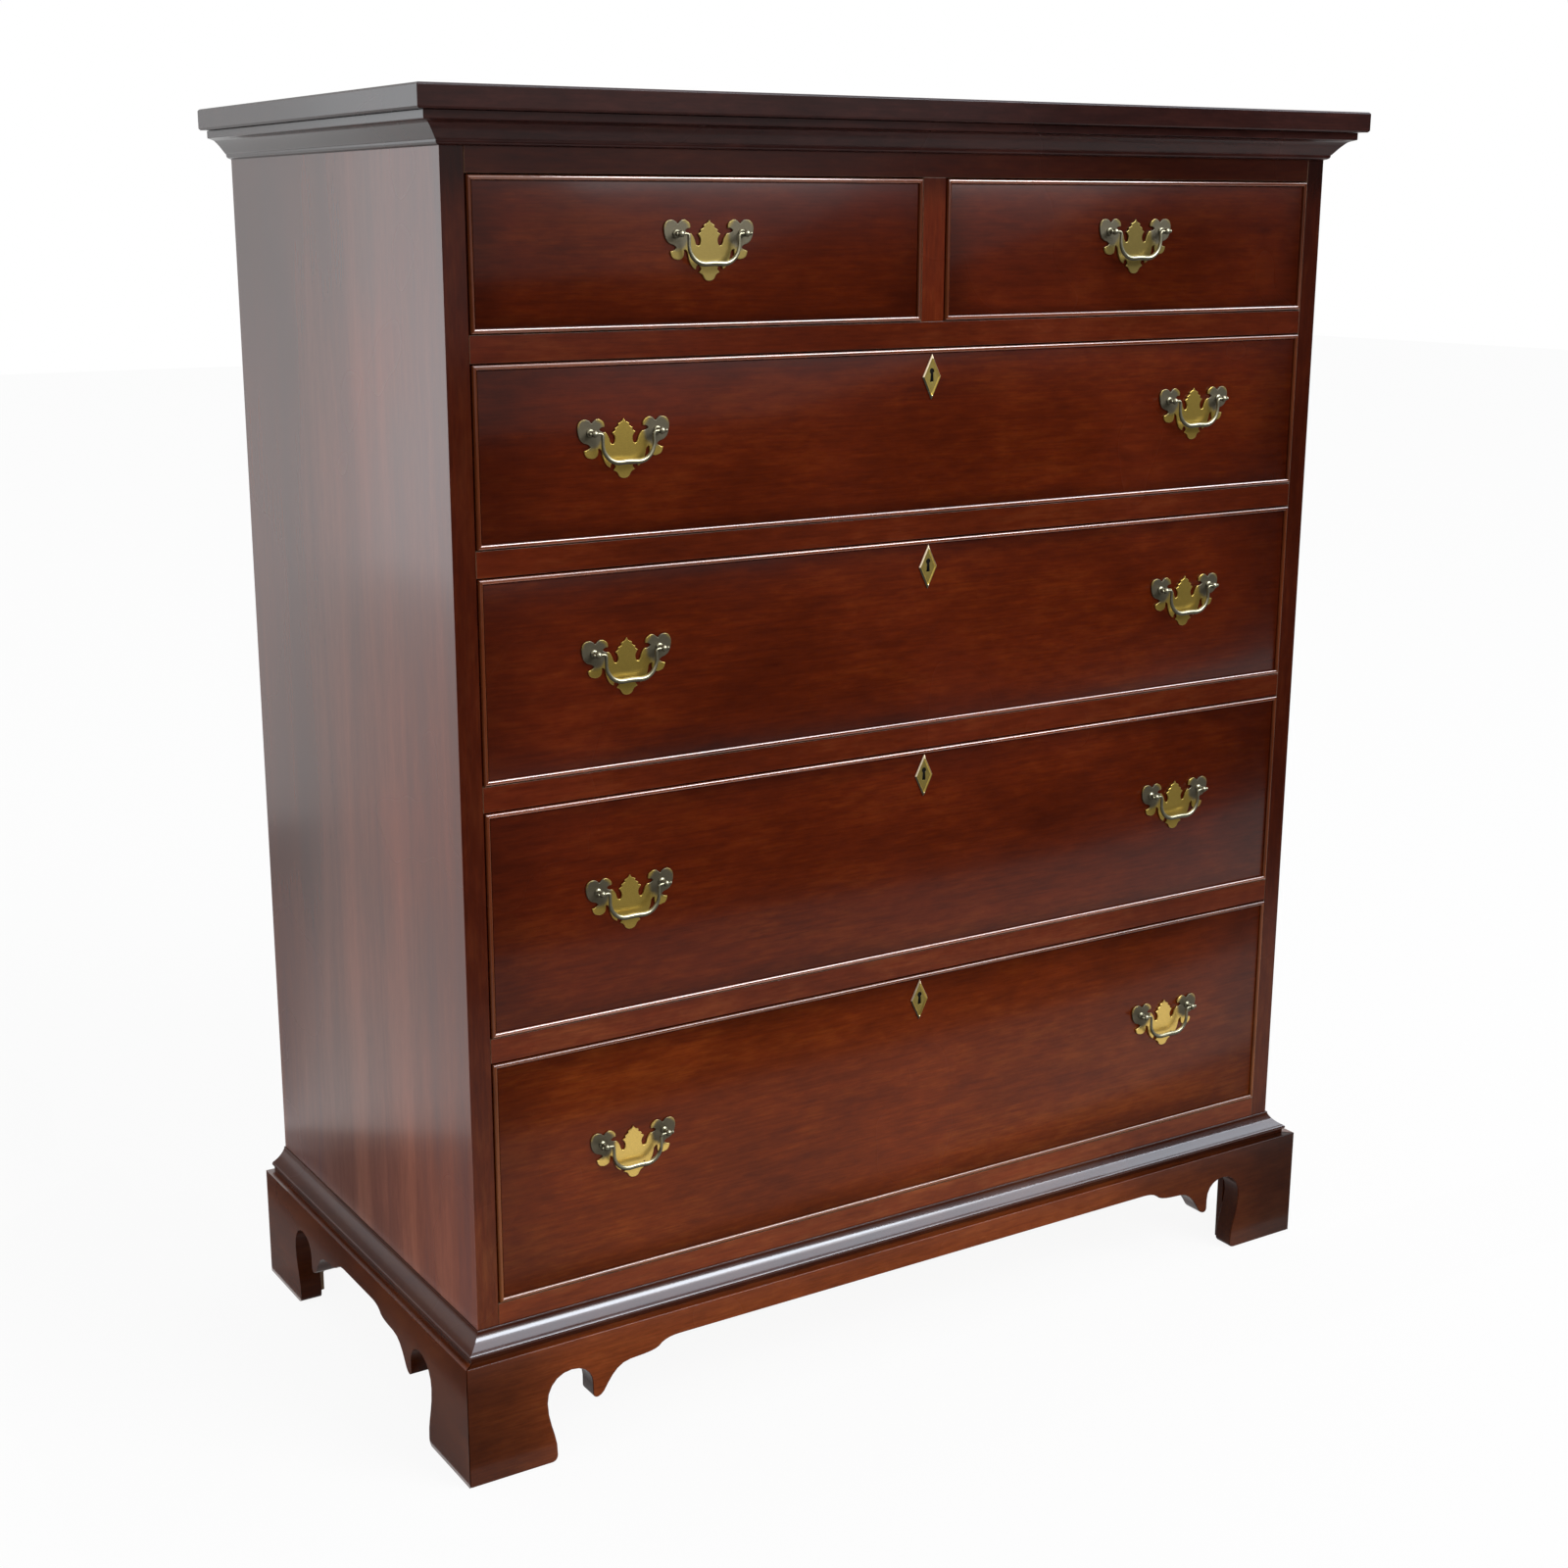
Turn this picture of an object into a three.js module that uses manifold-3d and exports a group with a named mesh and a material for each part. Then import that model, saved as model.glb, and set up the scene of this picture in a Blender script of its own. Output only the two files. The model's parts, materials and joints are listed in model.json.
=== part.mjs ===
// A tall flat-front chest: two small drawers over four long graduated ones, cock-beaded fronts,
// swinging bail pulls on scrolled brass plates, mitred mouldings and a scroll-cut bracket base.
// Millimetres, +Z up, +X to the right of someone facing the drawers, which face -Y.
// The origin is on the floor, at the middle of the chest's outer box.
import * as THREE from 'three';
import { mergeVertices } from 'three/addons/utils/BufferGeometryUtils.js';
import Module from 'manifold-3d';

const wasm = await Module();
wasm.setup();

// Case
const caseWidth = 950;
const caseDepth = 476;
const sideThickness = 20.7;
const topThickness = 19;
const topOverhang = 30;
const topEdgeEase = 1.5;
const backThickness = 6.5;
const backLap = 10;

// Rails and dust frames
const railHeight = 22.2;
const frontRailWidth = 57;
const runnerWidth = 50;
const centreRunnerWidth = 76;
const rearRailWidth = 50;
const dustPanelThickness = 7;
const housingDepth = 6;
const housingSetback = 12;
const topRailShow = 20;
const bottomRailShow = 20;
const railBoardThickness = 20.7;
const dividerWidth = 24.4;
const dividerDepth = 38;
const partitionThickness = 16;

// Rows of drawers, top row first: the small ones, then one long drawer a row
const smallFrontHeight = 122.3;
const frontHeightStep = 25.4;
const longRowCount = 4;
const gapAboveFront = 1.2;
const gapBelowFront = 1;
const gapBesideFront = 1.2;

// Crown moulding under the top board
const crownHeight = 26;
const crownProjection = 22;
const crownCurveSteps = 6;

// Base moulding and bracket base
const baseHeight = 115.4;
const baseProjection = 22.5;
const baseLap = 16;
const baseMouldingHeight = 22.5;
const baseMouldingProjection = 15.5;
const baseMouldingCurveSteps = 4;
const scrollWidth = 215;
const apronHeight = 24.1;
const scrollCurveSteps = 5;
const cornerBlockReach = 58;
const cornerBlockToe = 8;
const cornerBlockRise = 1.5;
const cornerBlockLap = 5.6;
const rearBracketThickness = 16;
const rearBracketFoot = 74;
const rearBracketTop = 128;
const rearBracketToe = 20;

// Drawer fronts
const frontThickness = 19;
const beadWidth = 4;
const beadProud = 2.2;
const beadSteps = 4;
const quirkWidth = 0.7;
const quirkDepth = 0.8;

// Drawer boxes
const drawerLength = 430;
const drawerSideThickness = 11;
const drawerSideDrop = 6;
const drawerBackThickness = 11;
const drawerBackDrop = 8;
const drawerBackSetIn = 6;
const tailLength = 12;
const tailPitch = 37;
const tailSlope = 6;
const tailRootShare = 0.54;
const bottomThickness = 5;
const bottomRise = 10;
const grooveDepth = 5;

// Pulls
const smallRowPullOffset = 0;
const longRowPullOffset = 316.8;
const postSpacing = 63.5;
const postRise = 15.4;
const plateWidth = 87;
const plateHeight = 49.6;
const plateTopAbovePosts = 11.2;
const plateThickness = 1.6;
const plateCurveSteps = 2;
const postReach = 8;
const postBallRadius = 3;
const postStemRadius = 1.8;
const postCollarRadius = 3.2;
const postCollarHeight = 1.2;
const postSides = 8;
const postHoleSides = 6;
const pinRadius = 1.1;
const bailWidth = 48.6;
const bailDrop = 24.4;
const bailArmRadius = 1.4;
const bailGripRadius = 2.3;
const bailShoulder = 2.2;
const bailStraight = 9;
const bailGripFlat = 9;
const bailLift = 0.4;
const bailSides = 8;
const bailBendSteps = 3;
const knobRadius = 1.7;
const knobLength = 2;

// Escutcheons
const escutcheonWidth = 20;
const escutcheonHeight = 40.5;
const escutcheonEdge = 0.8;
const escutcheonRimHeight = 2;
const escutcheonPlate = 1.2;
const rimBevel = 1;
const rimWidth = 2.6;
const keyholeRadius = 2.6;
const keyholeRise = 5.2;
const keySlotLength = 9.8;
const keySlotTopWidth = 2.8;
const keySlotBottomWidth = 4;
const keyholeSteps = 6;

// Fits
const glueLine = 0.2;
const clearance = 0.3;
const overrun = 5;

// Finishes
const polishedFront = { color: 0x4a1d12, roughness: 0.32, metalness: 0 };
const polishedRail = { color: 0x5c2417, roughness: 0.34, metalness: 0 };
const polishedCase = { color: 0x4b2216, roughness: 0.34, metalness: 0 };
const polishedBase = { color: 0x552114, roughness: 0.3, metalness: 0 };
const paleWood = { color: 0xb08a5c, roughness: 0.7, metalness: 0 };
const rawWood = { color: 0x9c7c58, roughness: 0.78, metalness: 0 };
const agedBrass = { color: 0x8c7838, roughness: 0.38, metalness: 1 };
const rubbedBrass = { color: 0xa99a62, roughness: 0.26, metalness: 1 };

// Places that follow from the sizes above
const caseFront = topOverhang - (caseDepth + topOverhang) / 2;
const caseBack = caseFront + caseDepth;
const halfCase = caseWidth / 2;
const halfInside = halfCase - sideThickness;
const sideFoot = baseHeight - baseLap;
const scrollHeight = baseHeight - apronHeight;
const bottomRailTop = baseHeight + baseMouldingHeight + bottomRailShow;
const frameBack = caseBack - backThickness - clearance;
const halfPosts = postSpacing / 2;

const rows = [];
let rowFloor = bottomRailTop;
for (let row = longRowCount; row >= 0; row -= 1) {
  const frontHeight = smallFrontHeight + frontHeightStep * row;
  const openingTop = rowFloor + gapBelowFront + frontHeight + gapAboveFront;
  rows.unshift({ floor: rowFloor, frontHeight, openingTop });
  rowFloor = openingTop + railHeight;
}
const topOpening = rows[0].openingTop;
const caseTop = topOpening + topRailShow + crownHeight;

// Solids from three.js geometry, and back
function solidOf(geometry) {
  const bare = geometry.clone();
  bare.deleteAttribute('normal');
  bare.deleteAttribute('uv');
  const merged = mergeVertices(bare);
  const mesh = new wasm.Mesh({
    numProp: 3,
    vertProperties: new Float32Array(merged.attributes.position.array),
    triVerts: new Uint32Array(merged.index.array),
  });
  return new wasm.Manifold(mesh);
}

function meshOf(name, solid, finish) {
  const { numProp, vertProperties, triVerts } = solid.getMesh();
  const flat = new THREE.BufferGeometry();
  flat.setAttribute('position', new THREE.BufferAttribute(new Float32Array(vertProperties), numProp));
  flat.setIndex(new THREE.BufferAttribute(new Uint32Array(triVerts), 1));
  const geometry = flat.toNonIndexed();
  geometry.computeVertexNormals();
  const mesh = new THREE.Mesh(geometry, new THREE.MeshStandardMaterial(finish));
  mesh.name = name;
  return mesh;
}

function board([x0, x1], [y0, y1], [z0, z1]) {
  const geometry = new THREE.BoxGeometry(x1 - x0, y1 - y0, z1 - z0);
  geometry.translate((x0 + x1) / 2, (y0 + y1) / 2, (z0 + z1) / 2);
  return solidOf(geometry);
}

const xAxis = new THREE.Vector3(1, 0, 0);
const yAxis = new THREE.Vector3(0, 1, 0);
const zAxis = new THREE.Vector3(0, 0, 1);
const fromFrontView = new THREE.Matrix4().makeBasis(xAxis, zAxis, yAxis.clone().negate());
const fromSideView = new THREE.Matrix4().makeBasis(yAxis, zAxis, xAxis);

function extruded(shape, depth, curveSegments) {
  return new THREE.ExtrudeGeometry(shape, { depth, bevelEnabled: false, curveSegments });
}

// An outline drawn as x and z, running in y
function cutFromFront(shape, [y0, y1], curveSegments = 1) {
  const geometry = extruded(shape, y1 - y0, curveSegments).applyMatrix4(fromFrontView);
  return solidOf(geometry.translate(0, y1, 0));
}

// An outline drawn as y and z, running in x
function cutFromSide(shape, [x0, x1], curveSegments = 1) {
  const geometry = extruded(shape, x1 - x0, curveSegments).applyMatrix4(fromSideView);
  return solidOf(geometry.translate(x0, 0, 0));
}

// An outline drawn as x and y, running in z
function cutFromPlan(shape, [z0, z1], curveSegments = 1) {
  const geometry = extruded(shape, z1 - z0, curveSegments);
  return solidOf(geometry.translate(0, 0, z0));
}

function polygon(points) {
  return new THREE.Shape(points.map(([x, y]) => new THREE.Vector2(x, y)));
}

// Skins matching sections in turn. The outline gives the end faces and turns counter-clockwise
// when it is seen from the last section.
function loft(sections, outline) {
  const count = outline.length;
  const index = [];
  for (let section = 0; section + 1 < sections.length; section += 1) {
    for (let corner = 0; corner < count; corner += 1) {
      const here = section * count + corner;
      const next = section * count + ((corner + 1) % count);
      index.push(here, next, next + count, here, next + count, here + count);
    }
  }
  const last = (sections.length - 1) * count;
  for (const [a, b, c] of THREE.ShapeUtils.triangulateShape(outline, [])) {
    index.push(c, b, a, last + a, last + b, last + c);
  }
  const geometry = new THREE.BufferGeometry();
  geometry.setAttribute('position', new THREE.Float32BufferAttribute(sections.flat(2), 3));
  geometry.setIndex(index);
  return solidOf(geometry);
}

// Draws steps on from a shape's current point: two numbers are a line, four a quadratic curve
// and six a cubic one, all through place, which turns shares into a point
function drawSteps(shape, steps, place) {
  for (const step of steps) {
    const points = [];
    for (let i = 0; i < step.length; i += 2) {
      points.push(...place(step[i], step[i + 1]));
    }
    if (step.length === 2) {
      shape.lineTo(...points);
    } else if (step.length === 4) {
      shape.quadraticCurveTo(...points);
    } else {
      shape.bezierCurveTo(...points);
    }
  }
}

// The same steps walked backwards, for the mirrored half of an outline
function reversedSteps(start, steps) {
  const back = [];
  let from = start;
  for (const step of steps) {
    const end = step.slice(-2);
    const controls = step.slice(0, -2);
    const turned = [];
    for (let i = controls.length; i > 0; i -= 2) {
      turned.push(controls[i - 2], controls[i - 1]);
    }
    back.unshift([...turned, ...from]);
    from = end;
  }
  return back;
}

// Pieces are drawn on the right, and side -1 turns them over to the left
function mirroredTo(side, solid) {
  return side > 0 ? solid : solid.mirror([1, 0, 0]);
}

// Case sides, with housings for the frames and a rabbet for the back panel
const frameTops = rows.map((row) => row.floor);
const topFrameTop = topOpening + railHeight;

function frameHousings() {
  const inner = halfInside - overrun;
  const outer = halfInside + housingDepth;
  const start = caseFront + housingSetback - clearance;
  return [topFrameTop, ...frameTops].map((top) => board(
    [inner, outer],
    [start, caseBack + overrun],
    [top - railHeight - clearance, top + clearance],
  ));
}

function caseSide(side) {
  let panel = board([halfInside, halfCase], [caseFront, caseBack], [sideFoot, caseTop - glueLine]);
  for (const housing of frameHousings()) {
    panel = panel.subtract(housing);
  }
  const rabbet = board(
    [halfInside - overrun, halfInside + backLap],
    [caseBack - backThickness - clearance, caseBack + overrun],
    [sideFoot - overrun, caseTop + overrun],
  );
  return mirroredTo(side, panel.subtract(rabbet));
}

const panelDepth = [caseFront + frontRailWidth, frameBack - rearRailWidth];

// Frames between the drawers: a front rail, runners and a thin dust panel, housed in the sides
function dustFrame(top, split) {
  const halfRail = halfInside - glueLine;
  const halfFrame = halfInside + housingDepth - clearance;
  const setback = caseFront + housingSetback;
  const plan = polygon([
    [-halfRail, caseFront],
    [halfRail, caseFront],
    [halfRail, setback],
    [halfFrame, setback],
    [halfFrame, frameBack],
    [-halfFrame, frameBack],
    [-halfFrame, setback],
    [-halfRail, setback],
  ]);
  const bottom = top - railHeight;
  const sink = (railHeight - dustPanelThickness) / 2;
  let frame = cutFromPlan(plan, [bottom, top]);
  for (const [x0, x1] of panelSpans(split.above)) {
    frame = frame.subtract(board([x0, x1], panelDepth, [top - sink, top + overrun]));
  }
  for (const [x0, x1] of panelSpans(split.below)) {
    frame = frame.subtract(board([x0, x1], panelDepth, [bottom - overrun, bottom + sink]));
  }
  return frame;
}

function panelSpans(hasCentreRunner) {
  const outer = halfInside - runnerWidth;
  const inner = centreRunnerWidth / 2;
  return hasCentreRunner ? [[-outer, -inner], [inner, outer]] : [[-outer, outer]];
}

// The upright rail boards that show over the top row and under the bottom row
function railBoard([z0, z1]) {
  const halfRail = halfInside - glueLine;
  return board([-halfRail, halfRail], [caseFront, caseFront + railBoardThickness], [z0, z1]);
}

function topRail() {
  const frame = dustFrame(topFrameTop, { above: false, below: true });
  return frame.add(railBoard([topOpening, caseTop - glueLine]));
}

function bottomRail() {
  const frame = dustFrame(bottomRailTop, { above: false, below: false });
  return frame.add(railBoard([sideFoot, bottomRailTop]));
}

// The upright between the two small drawers, with the partition that guides them
function drawerDivider() {
  const half = dividerWidth / 2;
  const thin = partitionThickness / 2;
  const shoulder = caseFront + dividerDepth;
  const plan = polygon([
    [-half, caseFront],
    [half, caseFront],
    [half, shoulder],
    [thin, shoulder],
    [thin, frameBack],
    [-thin, frameBack],
    [-thin, shoulder],
    [-half, shoulder],
  ]);
  return cutFromPlan(plan, [rows[0].floor + glueLine, topOpening - glueLine]);
}

function backPanel() {
  const half = halfInside + backLap - clearance;
  return board([-half, half], [caseBack - backThickness, caseBack], [sideFoot, caseTop - glueLine]);
}

// The top board, its edges eased
function topBoard() {
  const half = halfCase + topOverhang;
  const front = caseFront - topOverhang;
  const top = caseTop + topThickness;
  const levels = [
    [topEdgeEase, caseTop],
    [0, caseTop + topEdgeEase],
    [0, top - topEdgeEase],
    [topEdgeEase, top],
  ];
  const sections = levels.map(([inset, z]) => [
    [-half + inset, front + inset, z],
    [half - inset, front + inset, z],
    [half - inset, caseBack - inset, z],
    [-half + inset, caseBack - inset, z],
  ]);
  const outline = sections[0].map(([x, y]) => new THREE.Vector2(x, y));
  return loft(sections, outline);
}

// Mouldings run along one side, the front and the other side, with mitred front corners.
// A profile is drawn as shares of its projection and height, from the foot of its back face.
const profileStartShares = [0, 0];
const crownProfileShares = [
  [0.03, 0.02],
  [0.12, 0.06],
  [0.2, 0.15],
  [0.22, 0.19],
  [0.36, 0.33, 0.5, 0.5, 0.68, 0.63],
  [0.72, 0.67, 0.98, 0.73],
  [1, 0.76],
  [1, 1],
  [0, 1],
];
const baseMouldingShares = [
  [0.85, 0],
  [0.85, 0.18],
  [1, 0.22],
  [1, 0.27],
  [0.98, 0.33, 0.9, 0.35],
  [0.55, 0.48, 0.25, 0.66, 0.09, 0.92],
  [0.03, 1],
  [0, 1],
];

function profilePoints(steps, projection, height, curveSteps) {
  const shape = new THREE.Shape();
  const place = (outShare, upShare) => [glueLine + (projection - glueLine) * outShare, height * upShare];
  shape.moveTo(...place(...profileStartShares));
  drawSteps(shape, steps, place);
  return shape.getPoints(curveSteps);
}

function mitredRun(profile, foot) {
  const stations = [
    (out) => [halfCase + out, caseBack],
    (out) => [halfCase + out, caseFront - out],
    (out) => [-halfCase - out, caseFront - out],
    (out) => [-halfCase - out, caseBack],
  ];
  const sections = stations.map((station) => profile.map(({ x, y }) => [...station(x), foot + y]));
  return loft(sections, profile);
}

function crownMoulding() {
  const height = crownHeight - glueLine;
  const profile = profilePoints(crownProfileShares, crownProjection, height, crownCurveSteps);
  return mitredRun(profile, caseTop - crownHeight);
}

function baseMoulding() {
  const height = baseMouldingHeight - glueLine;
  const profile = profilePoints(
    baseMouldingShares,
    baseMouldingProjection,
    height,
    baseMouldingCurveSteps,
  );
  return mitredRun(profile, baseHeight + glueLine);
}

// The scroll of a bracket foot, from the toe to the straight apron: a curved heel, a round arch,
// a pointed drop, a long hollow and a small step, in shares of the scroll's width and height
const scrollToeShare = 0.378;
const scrollShares = [
  [0.405, 0, 0.408, 0.07],
  [0.412, 0.28, 0.366, 0.42, 0.366, 0.66],
  [0.366, 0.83, 0.415, 0.948, 0.479, 0.948],
  [0.54, 0.948, 0.579, 0.86, 0.579, 0.72],
  [0.579, 0.61],
  [0.582, 0.55, 0.612, 0.553, 0.632, 0.615],
  [0.665, 0.74, 0.695, 0.865, 0.76, 0.876],
  [0.82, 0.886, 0.87, 0.885, 0.9, 0.925],
  [0.92, 0.98, 0.96, 1, 1, 1],
];

// A base board's face, from one end to the other, with a foot at both ends
function baseBoardFace(start, end) {
  const shape = new THREE.Shape();
  shape.moveTo(start, 0);
  shape.lineTo(start + scrollWidth * scrollToeShare, 0);
  drawSteps(shape, scrollShares, (along, up) => [start + scrollWidth * along, scrollHeight * up]);
  const mirrored = (along, up) => [end - scrollWidth * along, scrollHeight * up];
  shape.lineTo(...mirrored(1, 1));
  drawSteps(shape, reversedSteps([scrollToeShare, 0], scrollShares), mirrored);
  shape.lineTo(end, 0);
  shape.lineTo(end, baseHeight);
  shape.lineTo(start, baseHeight);
  return shape;
}

const baseOuter = halfCase + baseProjection;
const baseInner = halfCase + glueLine;
const baseFrontOuter = caseFront - baseProjection;
const baseFrontInner = caseFront - glueLine;
const wholeBase = [-overrun, baseHeight + overrun];

function baseFront() {
  const face = baseBoardFace(-baseOuter, baseOuter);
  const plan = polygon([
    [-baseOuter, baseFrontOuter],
    [baseOuter, baseFrontOuter],
    [baseInner, baseFrontInner],
    [-baseInner, baseFrontInner],
  ]);
  const blank = cutFromFront(face, [baseFrontOuter, baseFrontInner], scrollCurveSteps);
  return blank.intersect(cutFromPlan(plan, wholeBase));
}

// A side board carries the glue block that backs its front foot
function baseSide(side) {
  const face = baseBoardFace(baseFrontOuter, caseBack);
  const plan = polygon([
    [baseOuter, baseFrontOuter + clearance],
    [baseOuter, caseBack],
    [baseInner, caseBack],
    [baseInner, baseFrontInner + clearance],
  ]);
  const blank = cutFromSide(face, [baseInner, baseOuter], scrollCurveSteps);
  const mitred = blank.intersect(cutFromPlan(plan, wholeBase));
  const blockFace = (inward, back) => [baseInner - inward, caseFront + back];
  return mirroredTo(side, mitred.add(cornerBlock(blockFace)));
}

// A glue block with a hollow face, set in the corner of a foot. Its plan is drawn as distances
// inward along one board and the other.
function cornerBlock(place) {
  const reach = cornerBlockReach;
  const toe = cornerBlockToe;
  const plan = new THREE.Shape();
  plan.moveTo(...place(-cornerBlockLap, 0));
  plan.lineTo(...place(reach, 0));
  plan.lineTo(...place(reach, toe));
  plan.quadraticCurveTo(...place(toe, toe), ...place(toe, reach));
  plan.lineTo(...place(-cornerBlockLap, reach));
  return cutFromPlan(plan, [cornerBlockRise, sideFoot - glueLine], scrollCurveSteps);
}

// A plain rear bracket with a hollow inner edge, and the glue block of its foot
function rearBracket(side) {
  const outer = halfCase;
  const top = sideFoot - glueLine;
  const face = new THREE.Shape();
  face.moveTo(outer, 0);
  face.lineTo(outer, top);
  face.lineTo(outer - rearBracketTop, top);
  face.quadraticCurveTo(outer - rearBracketFoot, top, outer - rearBracketFoot, rearBracketToe);
  face.lineTo(outer - rearBracketFoot, 0);
  const bracketFront = caseBack - rearBracketThickness;
  const bracket = cutFromFront(face, [bracketFront, caseBack], scrollCurveSteps);
  const blockFace = (back, inward) => [outer - inward, bracketFront - back];
  return mirroredTo(side, bracket.add(cornerBlock(blockFace)));
}

// Drawers are drawn on their own axes: x from the middle of the front, y from the case's face
// and z from the foot of the front
function beadedFront(width, height) {
  const profile = [[0, frontThickness]];
  for (let step = 0; step <= beadSteps; step += 1) {
    const turn = Math.PI * step / beadSteps;
    profile.push([(beadWidth - beadWidth * Math.cos(turn)) / 2, -beadProud * Math.sin(turn)]);
  }
  profile.push([beadWidth, quirkDepth]);
  profile.push([beadWidth + quirkWidth, quirkDepth]);
  profile.push([beadWidth + quirkWidth, 0]);
  const sections = profile.map(([inset, y]) => [
    [-width / 2 + inset, y, inset],
    [width / 2 - inset, y, inset],
    [width / 2 - inset, y, height - inset],
    [-width / 2 + inset, y, height - inset],
  ]);
  const outline = sections[0].map(([x, , z]) => new THREE.Vector2(x, z));
  return loft(sections, outline);
}

const sideBottom = clearance - gapBelowFront;
const grooveFloor = sideBottom + bottomRise;
const grooveTop = grooveFloor + bottomThickness + clearance;

// Corner points of the dovetail tails of one drawer side, from the lowest up, as y and z
function tailOutlines(height, spare) {
  const sideTop = height - drawerSideDrop;
  const count = Math.max(1, Math.round((sideTop - sideBottom) / tailPitch));
  const pitch = (sideTop - sideBottom) / count;
  const root = pitch * tailRootShare / 2 + spare;
  const tip = root + tailLength / tailSlope;
  const shoulder = frontThickness;
  const end = shoulder - tailLength + clearance - spare;
  const tails = [];
  for (let tail = 0; tail < count; tail += 1) {
    const middle = sideBottom + pitch * (tail + 0.5);
    tails.push([[middle - root, middle - tip], [middle + tip, middle + root], shoulder, end]);
  }
  return tails;
}

function drawerSide(width, height) {
  const sideTop = height - drawerSideDrop;
  const shoulder = frontThickness + glueLine;
  const points = [[drawerLength, sideTop], [drawerLength, sideBottom], [shoulder, sideBottom]];
  for (const [[low, lowTip], [highTip, high], , end] of tailOutlines(height, 0)) {
    points.push([shoulder, low], [end, lowTip], [end, highTip], [shoulder, high]);
  }
  points.push([shoulder, sideTop]);
  const outer = width / 2;
  return cutFromSide(polygon(points.reverse()), [outer - drawerSideThickness, outer]);
}

// Both sides and the back of a drawer, with the groove that takes the bottom
function drawerBox(width, height) {
  const right = drawerSide(width, height);
  const inner = width / 2 - drawerSideThickness;
  const rear = drawerLength - drawerBackSetIn;
  const back = board(
    [-inner - drawerSideThickness / 2, inner + drawerSideThickness / 2],
    [rear - drawerBackThickness, rear],
    [grooveTop, height - drawerSideDrop - drawerBackDrop],
  );
  return right.add(mirroredTo(-1, right)).add(back).subtract(bottomGroove(width));
}

function bottomGroove(width) {
  const reach = width / 2 - drawerSideThickness + grooveDepth;
  return board(
    [-reach, reach],
    [frontThickness - grooveDepth, drawerLength + overrun],
    [grooveFloor, grooveTop],
  );
}

function drawerFront(width, height) {
  const outer = width / 2;
  let sockets = null;
  for (const [[low, lowTip], [highTip, high], shoulder, end] of tailOutlines(height, clearance)) {
    const slope = overrun / tailSlope;
    const socket = cutFromSide(
      polygon([
        [end, lowTip],
        [shoulder + overrun, low + slope],
        [shoulder + overrun, high - slope],
        [end, highTip],
      ]),
      [outer - drawerSideThickness - clearance, outer + overrun],
    );
    sockets = sockets ? sockets.add(socket) : socket;
  }
  return beadedFront(width, height)
    .subtract(sockets)
    .subtract(mirroredTo(-1, sockets))
    .subtract(bottomGroove(width));
}

function drawerBottom(width) {
  const reach = width / 2 - drawerSideThickness + grooveDepth - clearance;
  const start = frontThickness - grooveDepth + clearance;
  const level = grooveFloor + clearance / 2;
  const rear = drawerLength - drawerBackSetIn;
  return board([-reach, reach], [start, rear], [level, level + bottomThickness]);
}

// Pulls are drawn about the middle of the line between their posts, on the drawer's face.
// Half of the plate's outline, from the top point down the right side to the foot, as shares of
// half the width and of the height over the foot.
const plateTopShares = [0, 1];
const plateShares = [
  [0.032, 0.953],
  [0.123, 0.913],
  [0.114, 0.875],
  [0.195, 0.838],
  [0.182, 0.802],
  [0.255, 0.769],
  [0.186, 0.715, 0.189, 0.66],
  [0.195, 0.577, 0.25, 0.577],
  [0.3, 0.585, 0.318, 0.668],
  [0.345, 0.735, 0.405, 0.779],
  [0.536, 0.822],
  [0.495, 0.87, 0.423, 0.864],
  [0.4, 0.941, 0.491, 0.982],
  [0.555, 1.024, 0.627, 0.988],
  [0.7, 0.933],
  [0.759, 1.004, 0.845, 1.002],
  [0.991, 0.996, 1, 0.854],
  [0.991, 0.644, 0.839, 0.603],
  [0.724, 0.542],
  [0.862, 0.486],
  [0.84, 0.37, 0.75, 0.36],
  [0.703, 0.35],
  [0.62, 0.35, 0.575, 0.401],
  [0.563, 0.51],
  [0.527, 0.53, 0.482, 0.47],
  [0.468, 0.368, 0.423, 0.296],
  [0.382, 0.217, 0.3, 0.186],
  [0.255, 0.269],
  [0.195, 0.257, 0.182, 0.19],
  [0.234, 0.138],
  [0.159, 0.123, 0.132, 0.075],
  [0.1, 0, 0, 0],
];

function platePoint(side) {
  const foot = plateTopAbovePosts - plateHeight;
  return (acrossShare, upShare) => [side * plateWidth / 2 * acrossShare, foot + plateHeight * upShare];
}

function plateOutline() {
  const shape = new THREE.Shape();
  shape.moveTo(...platePoint(1)(...plateTopShares));
  drawSteps(shape, plateShares, platePoint(1));
  drawSteps(shape, reversedSteps(plateTopShares, plateShares), platePoint(-1));
  return polygon(shape.getPoints(plateCurveSteps).slice(0, -1).map(({ x, y }) => [x, y]));
}

const plateFace = -glueLine - plateThickness;
const hingeLine = plateFace - postReach;

// A post turned round the y axis: collar, stem and a ball with a cross hole for the bail's pin
function turnedPost() {
  const neck = postStemRadius;
  const ballStart = Math.sqrt(postBallRadius ** 2 - neck ** 2);
  const root = -postReach - plateThickness / 2;
  const profile = [
    [0, root],
    [postCollarRadius, root],
    [postCollarRadius, postCollarHeight - postReach],
    [neck, postCollarHeight - postReach + (postCollarRadius - neck)],
    [neck, -ballStart],
    [postBallRadius, 0],
    [postBallRadius * Math.SQRT1_2, postBallRadius * Math.SQRT1_2],
    [0, postBallRadius],
  ];
  const turned = new THREE.LatheGeometry(profile.map(([r, h]) => new THREE.Vector2(r, h)), postSides);
  const pointingForward = new THREE.Matrix4().makeRotationX(-Math.PI);
  return solidOf(turned.applyMatrix4(pointingForward));
}

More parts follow.
